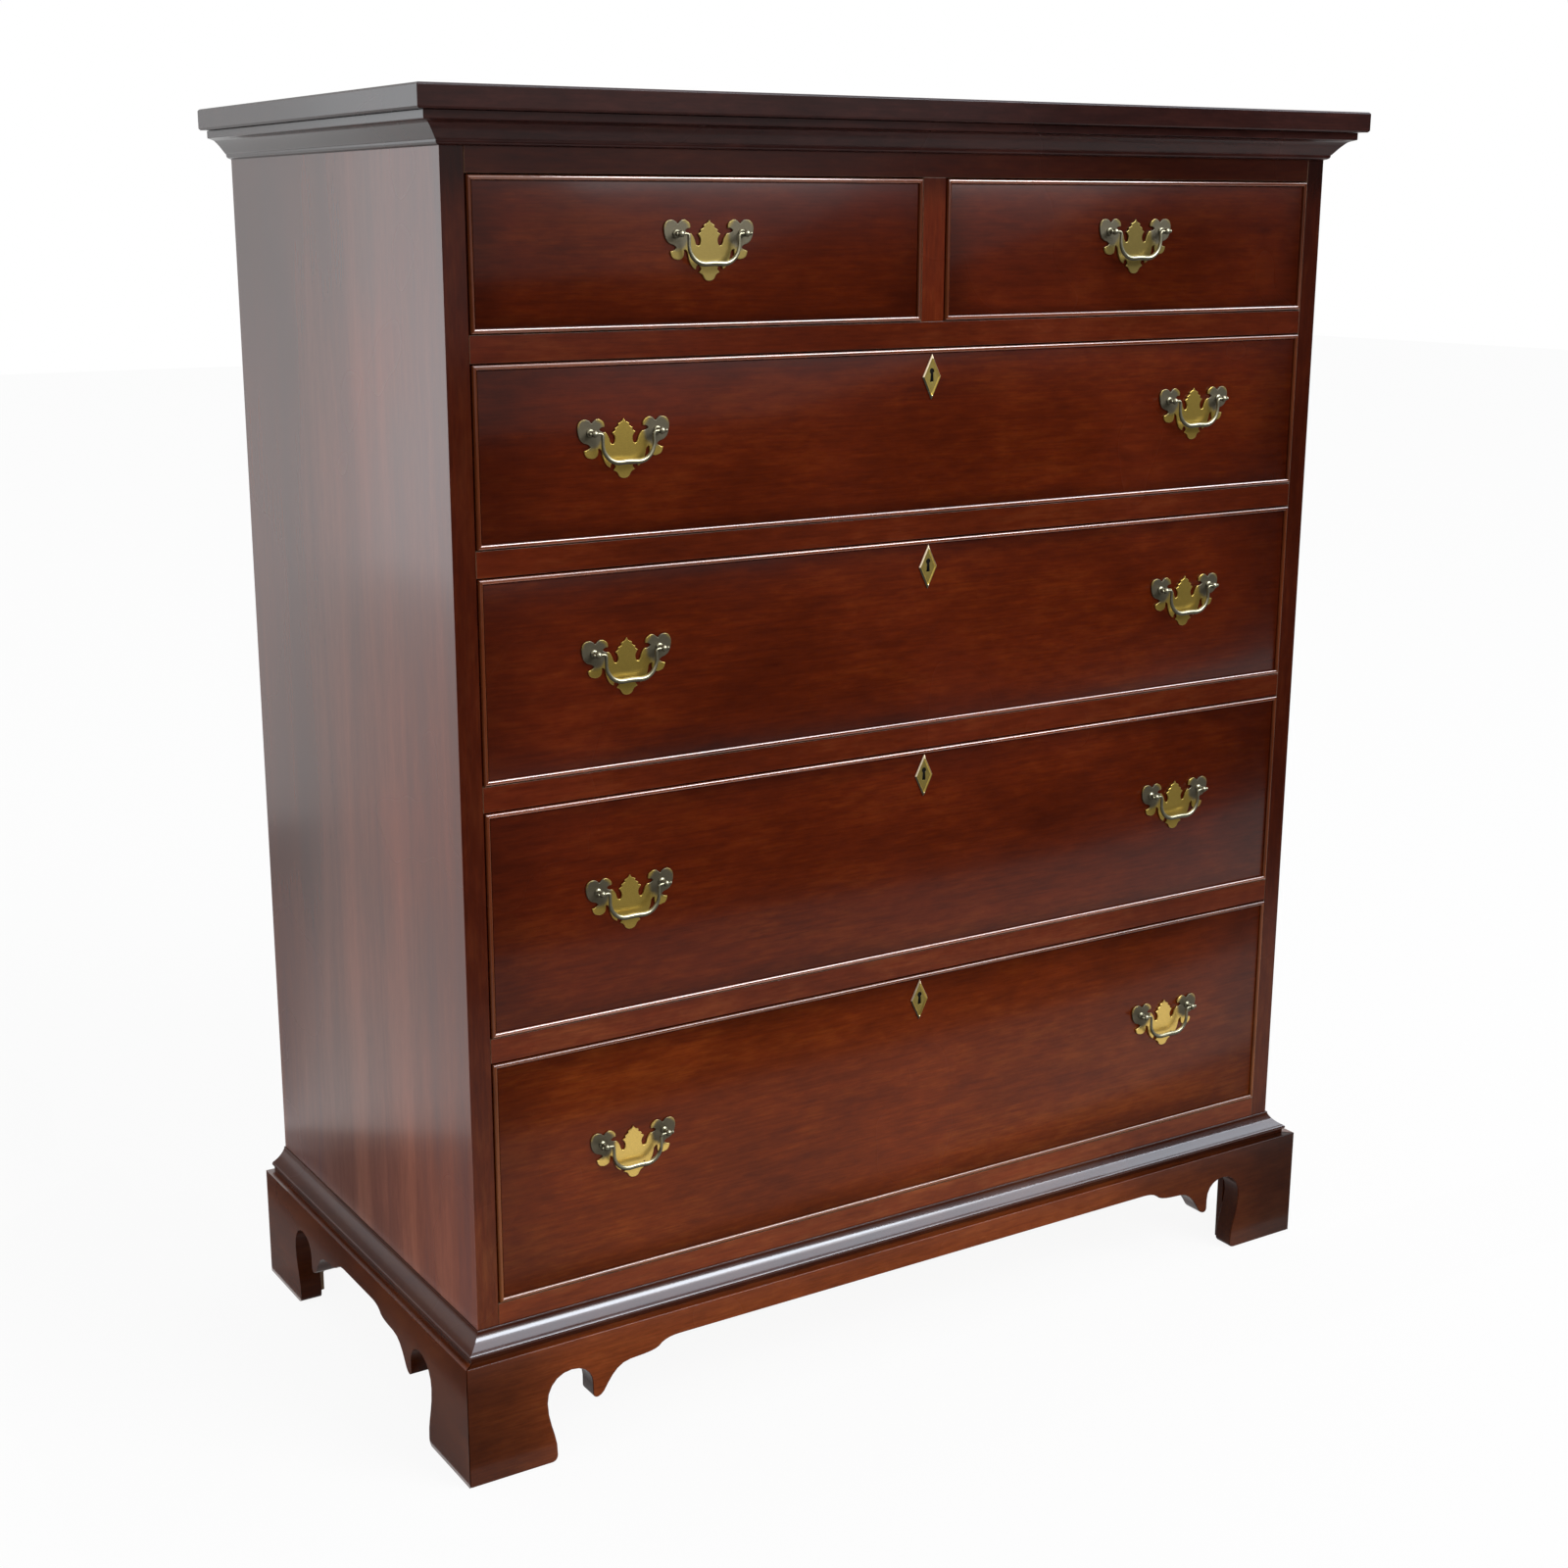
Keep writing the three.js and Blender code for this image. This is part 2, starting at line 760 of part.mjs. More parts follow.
function postHole() {
  const across = postBallRadius + overrun;
  const radius = (pinRadius + clearance) / Math.cos(Math.PI / postHoleSides);
  const hole = new THREE.CylinderGeometry(radius, radius, across * 2, postHoleSides);
  return solidOf(hole.rotateZ(Math.PI / 2));
}

function pullPlate() {
  const post = turnedPost().subtract(postHole());
  const right = post.translate([halfPosts, hingeLine, 0]);
  const left = post.translate([-halfPosts, hingeLine, 0]);
  return cutFromFront(plateOutline(), [plateFace, -glueLine]).add(right).add(left);
}

// The bail is drawn about its hinge line: centre points of the bar, each with its radius, from
// the middle of the grip to the right-hand end
function bailHalf() {
  const arm = bailWidth / 2;
  const bendOut = arm - bailGripFlat;
  const bendDown = bailDrop - bailStraight;
  const stations = [{ x: 0, z: -bailDrop + bailLift, radius: bailGripRadius }];
  for (let step = 0; step <= bailBendSteps; step += 1) {
    const turn = Math.PI / 2 * step / bailBendSteps;
    const share = step / bailBendSteps;
    stations.push({
      x: bailGripFlat + bendOut * Math.sin(turn),
      z: -bailStraight - bendDown * Math.cos(turn),
      radius: bailGripRadius + (bailArmRadius - bailGripRadius) * share,
    });
  }
  stations.push({ x: arm, z: -bailShoulder, radius: bailArmRadius });
  const knobStart = halfPosts + postBallRadius + clearance;
  stations.push({ x: arm + bailShoulder, z: 0, radius: pinRadius });
  stations.push({ x: knobStart, z: 0, radius: pinRadius });
  stations.push({ x: knobStart, z: 0, radius: knobRadius });
  stations.push({ x: knobStart + knobLength, z: 0, radius: knobRadius * Math.SQRT1_2 });
  return stations;
}

// The bar's direction at a station, along x and z, from its neighbours
function barDirection(stations, index) {
  const before = stations[Math.max(index - 1, 0)];
  const after = stations[Math.min(index + 1, stations.length - 1)];
  return new THREE.Vector3(after.x - before.x, 0, after.z - before.z).normalize();
}

function bail() {
  const half = bailHalf();
  const left = half.slice(1).reverse().map(({ x, z, radius }) => ({ x: -x, z, radius }));
  const stations = [...left, ...half];
  const outline = [];
  for (let side = 0; side < bailSides; side += 1) {
    const turn = Math.PI * 2 * (side + 0.5) / bailSides;
    outline.push(new THREE.Vector2(Math.cos(turn), Math.sin(turn)));
  }
  const sections = stations.map(({ x, z, radius }, index) => {
    const inward = new THREE.Vector3().crossVectors(yAxis, barDirection(stations, index));
    return outline.map((point) => [
      x + inward.x * point.x * radius,
      point.y * radius,
      z + inward.z * point.x * radius,
    ]);
  });
  return loft(sections, outline);
}

// A lozenge plate with a raised bevelled rim and a keyhole, drawn about its middle
function escutcheon() {
  const levels = [
    [0, -glueLine],
    [0, -escutcheonEdge],
    [rimBevel, -escutcheonRimHeight],
    [rimWidth - rimBevel, -escutcheonRimHeight],
    [rimWidth, -escutcheonPlate],
  ];
  const sections = levels.map(([inset, y]) => {
    const share = 1 - inset / (escutcheonWidth / 2);
    const across = escutcheonWidth / 2 * share;
    const up = escutcheonHeight / 2 * share;
    return [[across, y, 0], [0, y, up], [-across, y, 0], [0, y, -up]];
  });
  const outline = sections[0].map(([x, , z]) => new THREE.Vector2(x, z));
  return loft(sections, outline).subtract(keyhole());
}

function keyhole() {
  const shape = new THREE.Shape();
  const meet = keySlotTopWidth / 2;
  const meetAngle = Math.acos(meet / keyholeRadius);
  const foot = keyholeRise - keySlotLength;
  shape.moveTo(-keySlotBottomWidth / 2, foot);
  shape.lineTo(keySlotBottomWidth / 2, foot);
  shape.absarc(0, keyholeRise, keyholeRadius, -meetAngle, Math.PI + meetAngle, false);
  return cutFromFront(shape, [-escutcheonRimHeight - overrun, overrun], keyholeSteps);
}

// The whole chest
const chest = new THREE.Group();

chest.add(
  meshOf('case_side_left', caseSide(-1), polishedCase),
  meshOf('case_side_right', caseSide(1), polishedCase),
  meshOf('top_board', topBoard(), polishedCase),
  meshOf('back_panel', backPanel(), rawWood),
  meshOf('top_rail', topRail(), polishedRail),
  meshOf('bottom_rail', bottomRail(), polishedRail),
  meshOf('drawer_divider', drawerDivider(), polishedRail),
  meshOf('crown_moulding', crownMoulding(), polishedCase),
  meshOf('base_moulding', baseMoulding(), polishedBase),
  meshOf('base_front', baseFront(), polishedBase),
  meshOf('base_left', baseSide(-1), polishedBase),
  meshOf('base_right', baseSide(1), polishedBase),
  meshOf('rear_bracket_left', rearBracket(-1), rawWood),
  meshOf('rear_bracket_right', rearBracket(1), rawWood),
);
rows.slice(0, longRowCount).forEach(({ floor }, row) => {
  const frame = dustFrame(floor, { above: row === 0, below: false });
  chest.add(meshOf(`dust_frame_${row + 1}`, frame, polishedRail));
});

// One drawer at its place: its box, its pulls and, where it locks, its escutcheon
function drawer(number, row, centre, width, pullOffset, hasKeyhole) {
  const { floor, frontHeight } = rows[row];
  const group = new THREE.Group();
  group.position.set(centre, caseFront, floor + gapBelowFront);
  group.add(
    meshOf(`drawer_${number}_front`, drawerFront(width, frontHeight), polishedFront),
    meshOf(`drawer_${number}_box`, drawerBox(width, frontHeight), paleWood),
    meshOf(`drawer_${number}_bottom`, drawerBottom(width), paleWood),
  );
  const postHeight = frontHeight / 2 + postRise;
  const pulls = pullOffset > 0 ? [['_left', -pullOffset], ['_right', pullOffset]] : [['', 0]];
  for (const [suffix, across] of pulls) {
    const plate = meshOf(`pull_plate_${number}${suffix}`, pullPlate(), agedBrass);
    plate.position.set(across, 0, postHeight);
    const handle = meshOf(`bail_${number}${suffix}`, bail(), rubbedBrass);
    handle.position.set(across, hingeLine, postHeight);
    group.add(plate, handle);
  }
  if (hasKeyhole) {
    const lozenge = meshOf(`escutcheon_${number}`, escutcheon(), agedBrass);
    const tip = frontHeight - beadWidth - quirkWidth - clearance;
    lozenge.position.set(0, 0, tip - escutcheonHeight / 2);
    group.add(lozenge);
  }
  return group;
}

const smallOpening = halfInside - dividerWidth / 2;
const smallCentre = dividerWidth / 2 + smallOpening / 2;
const smallWidth = smallOpening - gapBesideFront * 2;
const longWidth = halfInside * 2 - gapBesideFront * 2;
chest.add(drawer(1, 0, -smallCentre, smallWidth, smallRowPullOffset, false));
chest.add(drawer(2, 0, smallCentre, smallWidth, smallRowPullOffset, false));
for (let row = 1; row <= longRowCount; row += 1) {
  chest.add(drawer(row + 2, row, 0, longWidth, longRowPullOffset, true));
}

export default chest;
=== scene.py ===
# Finishes a tall chest of drawers: polished mahogany boards, mitred mouldings, cock-beaded
# drawer fronts, aged brass pulls and a plain studio. Metres, +Z up, and the drawers face -Y.
import json
import math

import bmesh
import bpy
from bpy.props import FloatProperty, FloatVectorProperty, IntProperty, PointerProperty
from bpy.types import Operator, Panel, PropertyGroup
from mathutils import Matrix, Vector


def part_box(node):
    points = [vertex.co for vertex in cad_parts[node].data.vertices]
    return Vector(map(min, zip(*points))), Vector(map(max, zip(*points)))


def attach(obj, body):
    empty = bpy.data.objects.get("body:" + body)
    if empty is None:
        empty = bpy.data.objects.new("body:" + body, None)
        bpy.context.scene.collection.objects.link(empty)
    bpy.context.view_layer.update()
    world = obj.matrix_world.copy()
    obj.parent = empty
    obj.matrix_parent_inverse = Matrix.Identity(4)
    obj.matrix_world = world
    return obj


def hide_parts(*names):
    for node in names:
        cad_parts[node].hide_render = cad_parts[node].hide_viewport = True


bl_info = {
    "name": "Chest of Drawers Finish",
    "version": (1, 0, 0),
    "blender": (4, 5, 0),
    "location": "View3D > Sidebar > Chest",
    "description": "Wood, mouldings, beads, brass and stage of a chest of drawers",
    "category": "Object",
}

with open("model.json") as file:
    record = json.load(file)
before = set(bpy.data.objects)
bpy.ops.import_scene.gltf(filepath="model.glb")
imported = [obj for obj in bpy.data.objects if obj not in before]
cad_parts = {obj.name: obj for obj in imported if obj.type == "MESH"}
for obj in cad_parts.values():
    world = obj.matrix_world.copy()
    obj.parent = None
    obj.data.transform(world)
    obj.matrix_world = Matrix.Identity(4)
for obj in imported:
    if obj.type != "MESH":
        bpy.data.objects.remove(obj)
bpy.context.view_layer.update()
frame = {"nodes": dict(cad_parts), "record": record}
NODES = frame["nodes"]
BODY_OF = {
    node: body
    for body, members in frame["record"]["behaviour"]["bodies"].items()
    for node in members
}
HINGE_OF = {
    joint["child"]: Vector(joint["pos_m"])
    for joint in frame["record"]["behaviour"]["joints"]
    if "pos_m" in joint
}

X_GRAIN, Y_GRAIN, Z_GRAIN = 0, 1, 2
DRAWERS = range(1, 7)
LOCKED_DRAWERS = range(3, 7)

# Distances within which corners are one, faces share a plane, and a face is a board's outside
WELD, TOUCH, OUTSIDE = 2e-6, 1e-5, 0.0005
GLUE_LINE = 0.0002
# A face looks along an axis when its normal has more than this of it
ALONG = 0.9
# Angles, in degrees, under which faces are one flat face, over which edges are eased, and over
# which they are shaded as sharp
FLAT = 0.4
BOARD_CORNER, MOULDING_CORNER, PLATE_CORNER, LOZENGE_CORNER = 32.0, 26.0, 62.0, 20.0
BEAD_CORNER, NUT_CORNER = 38.0, 35.0

# Where most of a noise lies, and from where to where on the chest, in metres, a tone sets in: the
# painted reflection of the floor near the floor, painted shade near the top, the painted shadow of
# the crown moulding under it, painted shade towards the right, and a redder tone towards the front
MOST = (0.3, 0.7)
NEAR_FLOOR, NEAR_TOP, NEAR_CROWN = (0.05, 0.56), (0.94, 1.12), (1.09, 1.13)
TO_RIGHT, FROM_FRONT = (0.1, 0.47), (-0.19, 0.16)


# Sizes and colours


def amount(name, description, default, low=0.0, **more):
    return FloatProperty(name=name, description=description, default=default, min=low, **more)


def size(name, description, default):
    return amount(name, description, default, unit="LENGTH", precision=5)


def share(name, description, default):
    return amount(name, description, default, max=1.0, subtype="FACTOR")


def power(name, description, default):
    return amount(name, description, default, unit="POWER")


def count(name, description, default, low):
    return IntProperty(name=name, description=description, default=default, min=low)


def triple(name, description, default, **more):
    return FloatVectorProperty(name=name, description=description, default=default, size=3,
                               **more)


def tone(name, description, default):
    return triple(name, description, default, min=0.0, max=1.0, subtype="COLOR")


class ChestWood(PropertyGroup):
    """Colours and gloss of the woods"""

    front_dark: tone("Front, dark", "Darkest grain of the drawer fronts", (0.043, 0.0046, 0.0006))
    front_mid: tone("Front, mid", "Main colour of the drawer fronts", (0.073, 0.0078, 0.0005))
    front_light: tone("Front, light", "Lightest grain of the drawer fronts",
                      (0.113, 0.0165, 0.0013))
    rail_dark: tone("Rail, dark", "Darkest grain of the rails", (0.05, 0.006, 0.0012))
    rail_mid: tone("Rail, mid", "Main colour of the rails", (0.085, 0.0105, 0.0016))
    rail_light: tone("Rail, light", "Lightest grain of the rails", (0.125, 0.0225, 0.0045))
    base_dark: tone("Base, dark", "Darkest grain of the base boards", (0.045, 0.006, 0.0011))
    base_mid: tone("Base, mid", "Main colour of the base boards", (0.078, 0.0108, 0.0018))
    base_light: tone("Base, light", "Lightest grain of the base boards", (0.114, 0.0185, 0.0033))
    stile_shade: share("Stile shade", "Tone of the uprights beside the drawers, against the rails",
                       0.6)
    # Painted reflection of the floor: the wood is lighter and greyer near the floor
    floor_reflection_tint: triple("Low down", "Tone of the wood near the floor", (1.82, 2.65, 3.2), min=0.0)
    case_dark: tone("Case, dark", "Darkest grain of the sides", (0.062, 0.027, 0.026))
    case_mid: tone("Case, mid", "Main colour of the sides", (0.113, 0.036, 0.024))
    case_light: tone("Case, light", "Lightest grain of the sides", (0.19, 0.06, 0.036))
    top_dark: tone("Top, dark", "Darkest grain of the top and the crown", (0.016, 0.005, 0.0042))
    top_mid: tone("Top, mid", "Main colour of the top and the crown", (0.03, 0.008, 0.0062))
    top_light: tone("Top, light", "Lightest grain of the top and the crown", (0.052, 0.014, 0.01))
    # Lighter than the rails: partly the rubbed bead, partly painted bounce light on its lower half
    bead_colour: tone("Bead", "Rubbed colour of the cock beads", (0.17, 0.036, 0.008))
    lining_dark: tone("Lining, dark", "Darker grain of the drawer linings", (0.27, 0.155, 0.075))
    lining_light: tone("Lining, light", "Lighter grain of the drawer linings", (0.47, 0.31, 0.17))
    raw_dark: tone("Unfinished, dark", "Darker grain of the hidden boards", (0.17, 0.095, 0.05))
    raw_light: tone("Unfinished, light", "Lighter grain of the hidden boards", (0.35, 0.22, 0.125))
    polish_roughness: share("Polish roughness", "Roughness of the polished wood", 0.25)
    polish_sheen: share("Polish shine", "Strength of the wood's own shine", 0.2)
    polish_coat: share("Polish coat", "Strength of the clear coat on flat boards", 0.22)
    moulding_coat: share("Moulding coat", "Strength of the clear coat on the mouldings", 0.5)
    bead_coat: share("Bead coat", "Strength of the clear coat on the cock beads", 0.2)
    bead_shine: tone("Bead shine", "Colour of the shine on the cock beads", (1.0, 0.82, 0.75))
    front_gloss: share("Front gloss", "Gloss of fronts and rails, against the sides", 0.47)
    # Partly toned edges, partly painted shade at the ends of the drawer fronts
    edge_shade: share("Edge shade", "How much darker the drawer fronts are at their edges", 0.36)
    foot_shade: share("Foot shade", "How much darker the base is towards its ends", 0.55)
    front_warmth: triple("Front warmth", "Tone of the sides towards the front", (1.45, 1.15, 1.0),
                         min=0.0)
    # Painted shade near the top of the chest
    high_up_shade: share("High up", "How much darker the wood is near the top", 0.26)
    # Painted shade towards the right of the fronts, rails and uprights
    right_shade: share("Right shade", "How much darker fronts and rails are at the right", 0.22)
    # Painted shade on the right of the base
    foot_right_shade: share("Right foot shade", "How much darker the base is at the right", 0.6)
    # Painted shadow of the crown moulding on the rails and uprights under it
    crown_shade: share("Crown shade", "How much darker the wood is just under the crown", 0.6)


class ChestBrass(PropertyGroup):
    """Colours of the aged brass, and of the light and shade painted on it"""

    plate_bright: tone("Plate, bright", "Rubbed middle of the back plates", (0.47, 0.32, 0.065))
    # Shaded and lit copies of the plate brass, by height: painted shade and painted light
    plate_high: tone("Plate, high up", "The same on the small drawers", (0.31, 0.225, 0.062))
    plate_low: tone("Plate, low down", "The same on the last drawer", (0.68, 0.46, 0.12))
    # Tarnish in clouds, and painted shade round the posts
    plate_dull: tone("Plate, dull", "Tarnished wings of the back plates", (0.1, 0.083, 0.052))
    field_dull: tone("Escutcheon, dull", "Tarnished field of the escutcheons", (0.23, 0.165, 0.038))
    # Rubbed and painted light on the upper faces of the escutcheon rims and pins
    rim_rubbed_and_lit: tone("Escutcheon, rim", "Rubbed edges and pins of the escutcheons",
                     (0.9, 0.74, 0.5))
    # Lighter on the upper faces and darker on the lower ones: rubbed and tarnished, and painted
    # light and shade
    bail_rubbed_and_lit: tone("Bail, bright", "Rubbed bails and posts", (0.235, 0.21, 0.138))
    bail_tarnish_and_shade: tone("Bail, dull", "Tarnish on bails and posts", (0.1, 0.092, 0.062))
    plate_roughness: share("Plate roughness", "Roughness of the plates", 0.35)
    bail_roughness: share("Bail roughness", "Roughness of the bails", 0.38)


class ChestEdges(PropertyGroup):
    """Eased edges, beads and mouldings"""

    board_ease: size("Board ease", "Rounding of the case's board edges", 0.0007)
    rail_ease: size("Rail ease", "Rounding of the rails' edges", 0.0003)
    foot_ease: size("Foot ease", "Rounding of the base boards' edges", 0.0012)
    lining_ease: size("Lining ease", "Rounding of the drawer linings' edges", 0.0008)
    moulding_ease: size("Moulding ease", "Rounding of the mouldings' corners", 0.0004)
    bead_width: size("Bead width", "Width of the cock bead round a drawer front", 0.004)
    bead_proud: size("Bead height", "How far the bead stands out", 0.0022)
    quirk_width: size("Quirk width", "Width of the groove inside the bead", 0.0007)
    quirk_depth: size("Quirk depth", "Depth of the groove inside the bead", 0.0008)
    front_thickness: size("Front thickness", "Thickness of a drawer front", 0.019)
    base_thickness: size("Base thickness", "Thickness of the base boards", 0.019)
    lining_thickness: size("Lining thickness", "Thickness of a drawer's sides", 0.011)
    bead_steps: count("Bead steps", "Facets across a bead", 14, 4)
    curve_steps: count("Curve steps", "Facets of a moulding's curve", 14, 3)


class ChestPulls(PropertyGroup):
    """Bail pulls and escutcheons"""

    plate_width: size("Plate width", "Width of a back plate", 0.087)
    plate_height: size("Plate height", "Height of a back plate", 0.0496)
    plate_top: size("Plate top", "Height of the plate's point over its posts", 0.0112)
    plate_thickness: size("Plate thickness", "Thickness of a back plate", 0.0016)
    plate_ease: size("Plate ease", "Bevel round the plate's face", 0.0008)
    post_spacing: size("Post spacing", "Distance between a pull's posts", 0.0635)
    post_reach: size("Post reach", "From the plate's face to the bail's hinge line", 0.008)
    ball_radius: size("Ball radius", "Radius of a post's ball", 0.003)
    pin_radius: size("Pin radius", "Radius of the bail's pins", 0.0011)
    nut_width: size("Nut width", "Width over flats of a nut behind a drawer front", 0.008)
    pin_head: size("Pin head", "Radius of an escutcheon pin's head", 0.0007)
    pin_inset: size("Pin inset", "From an escutcheon's point to its pin", 0.0036)
    lozenge_ease: size("Escutcheon ease", "Rounding of an escutcheon's edges", 0.00018)
    field_depth: size("Field depth", "From an escutcheon's face to its sunk field", 0.0004)
    outline_steps: count("Outline steps", "Facets of a plate's curve", 6, 2)
    round_steps: count("Round steps", "Facets round a post", 28, 8)


class ChestStage(PropertyGroup):
    """Floor, light and camera"""

    floor_tone: tone("Floor", "Colour of the floor", (0.94, 0.94, 0.935))
    backdrop_tone: tone("Backdrop", "Colour of the backdrop", (1.0, 1.0, 1.0))
    floor_white: share("Floor white", "How much of the floor is shown as plain white", 0.92)
    fill: amount("Fill", "Strength of the soft light all round", 0.62)
    key: power("Key", "Power of the main lamp", 400.0)
    side: power("Side panel", "Power of the panel by the left side", 43.0)
    overhead: power("Overhead panel", "Power of the panel overhead", 165.0)
    window: power("Window panel", "Power of the high panel in front", 400.0)
    lens: amount("Lens", "Focal length", 51.19, 1.0, subtype="DISTANCE_CAMERA")
    camera_place: triple("Camera", "Place of the camera", (-1.2166, -1.8662, 1.0874),
                         subtype="TRANSLATION")
    camera_turn: triple("Camera turn", "Rotation of the camera",
                        tuple(math.radians(turn) for turn in (75.695, 0.087, -31.555)),
                        subtype="EULER")
    camera_shift: FloatVectorProperty(name="Camera shift", size=2, default=(0.0315, 0.0027),
                                      description="How far the picture is moved aside and up")


# Materials


class Nodes:
    """A node tree being put together"""

    def __init__(self, tree):
        self.tree = tree

    def put(self, socket, value):
        if isinstance(value, bpy.types.NodeSocket):
            self.tree.links.new(value, socket)
        elif isinstance(value, tuple) and len(value) == 3 and socket.type == "RGBA":
            socket.default_value = (*value, 1.0)
        else:
            socket.default_value = value

    def add(self, kind, inputs, **settings):
        made = self.tree.nodes.new(kind)
        for setting, value in settings.items():
            setattr(made, setting, value)
        for socket, value in inputs.items():
            self.put(made.inputs[socket], value)
        return made

    def number(self, operation, *values):
        return self.add("ShaderNodeMath", dict(enumerate(values)), operation=operation).outputs[0]

    def seen_ray(self):
        """1 for what the camera sees, straight, mirrored or through glass"""
        rays = self.add("ShaderNodeLightPath", {}).outputs
        seen = self.number("MAXIMUM", rays["Is Camera Ray"], rays["Is Glossy Ray"])
        return self.number("MAXIMUM", seen, rays["Is Transmission Ray"])

    def show(self, output, share_of_second, first, second):
        """A mix of two shaders as the tree's result"""
        mix = self.add("ShaderNodeMixShader", {0: share_of_second, 1: first.outputs[0],
                                               2: second.outputs[0]})
        self.put(self.tree.nodes[output].inputs[0], mix.outputs[0])


class Recipe(Nodes):
    """A material being put together"""

    def __init__(self, name):
        self.material = bpy.data.materials.new(name)
        self.material.use_nodes = True
        super().__init__(self.material.node_tree)
        self.surface = self.tree.nodes["Principled BSDF"]
        self.coords = self.tree.nodes.new("ShaderNodeTexCoord")

    def ranged(self, value, low, high, to_low=0.0, to_high=1.0):
        inputs = {"Value": value, "From Min": low, "From Max": high, "To Min": to_low,
                  "To Max": to_high}
        return self.add("ShaderNodeMapRange", inputs, interpolation_type="SMOOTHSTEP").outputs[0]

    def noise(self, scales, detail=3.0, roughness=0.55, distortion=0.0, shift=(0.0, 0.0, 0.0)):
        placed = self.add("ShaderNodeMapping", {
            "Vector": self.coords.outputs["Object"], "Scale": scales, "Location": shift})
        return self.add("ShaderNodeTexNoise", {
            "Vector": placed.outputs[0], "Scale": 1.0, "Detail": detail,
            "Roughness": roughness, "Distortion": distortion}).outputs[0]

    def blend(self, mode, share_of_second, first, second):
        return self.add("ShaderNodeMix", {0: share_of_second, 6: first, 7: second},
                        data_type="RGBA", blend_type=mode).outputs[2]

    def times(self, colour, tint, share_of_tint=1.0):
        return self.blend("MULTIPLY", share_of_tint, colour, tint)

    def toned(self, colour, value, *span):
        """The colour times what ranged makes of the value"""
        return self.times(colour, self.ranged(value, *span))

    def clouded(self, scale, *settings):
        """The same noise in all directions"""
        return self.noise((scale, scale, scale), *settings)

    def along(self, grain, along, across, *settings):
        """A noise with one scale along the grain and another across it"""
        scales = [across, across, across]
        scales[grain] = along
        return self.noise(tuple(scales), *settings)

    def parts(self, kind="Object"):
        """X, Y and Z of a kind of coordinate"""
        return self.add("ShaderNodeSeparateXYZ", {0: self.coords.outputs[kind]}).outputs

    def ramp(self, value, stops):
        made = self.add("ShaderNodeValToRGB", {0: value})
        marks = made.color_ramp.elements
        while len(marks) < len(stops):
            marks.new(0.5)
        for mark, (place, colour) in zip(marks, stops):
            mark.position = place
            mark.color = (*colour, 1.0)
        return made.outputs[0]

    def bump(self, height, depth, strength=1.0):
        bump = self.add("ShaderNodeBump", {"Height": height, "Distance": depth,
                                           "Strength": strength})
        self.put(self.surface.inputs["Normal"], bump.outputs[0])

    def finish(self, **sockets):
        for socket, value in sockets.items():
            self.put(self.surface.inputs[socket.replace("_", " ")], value)
        return self.material


def from_edges(recipe, axis, reach_share):
    """0 at the two ends of the piece's box along an axis, and 1 past the share inwards"""
    inwards = recipe.number("PINGPONG", recipe.parts("Generated")[axis], 0.5)
    return recipe.ranged(inwards, 0.0, reach_share)


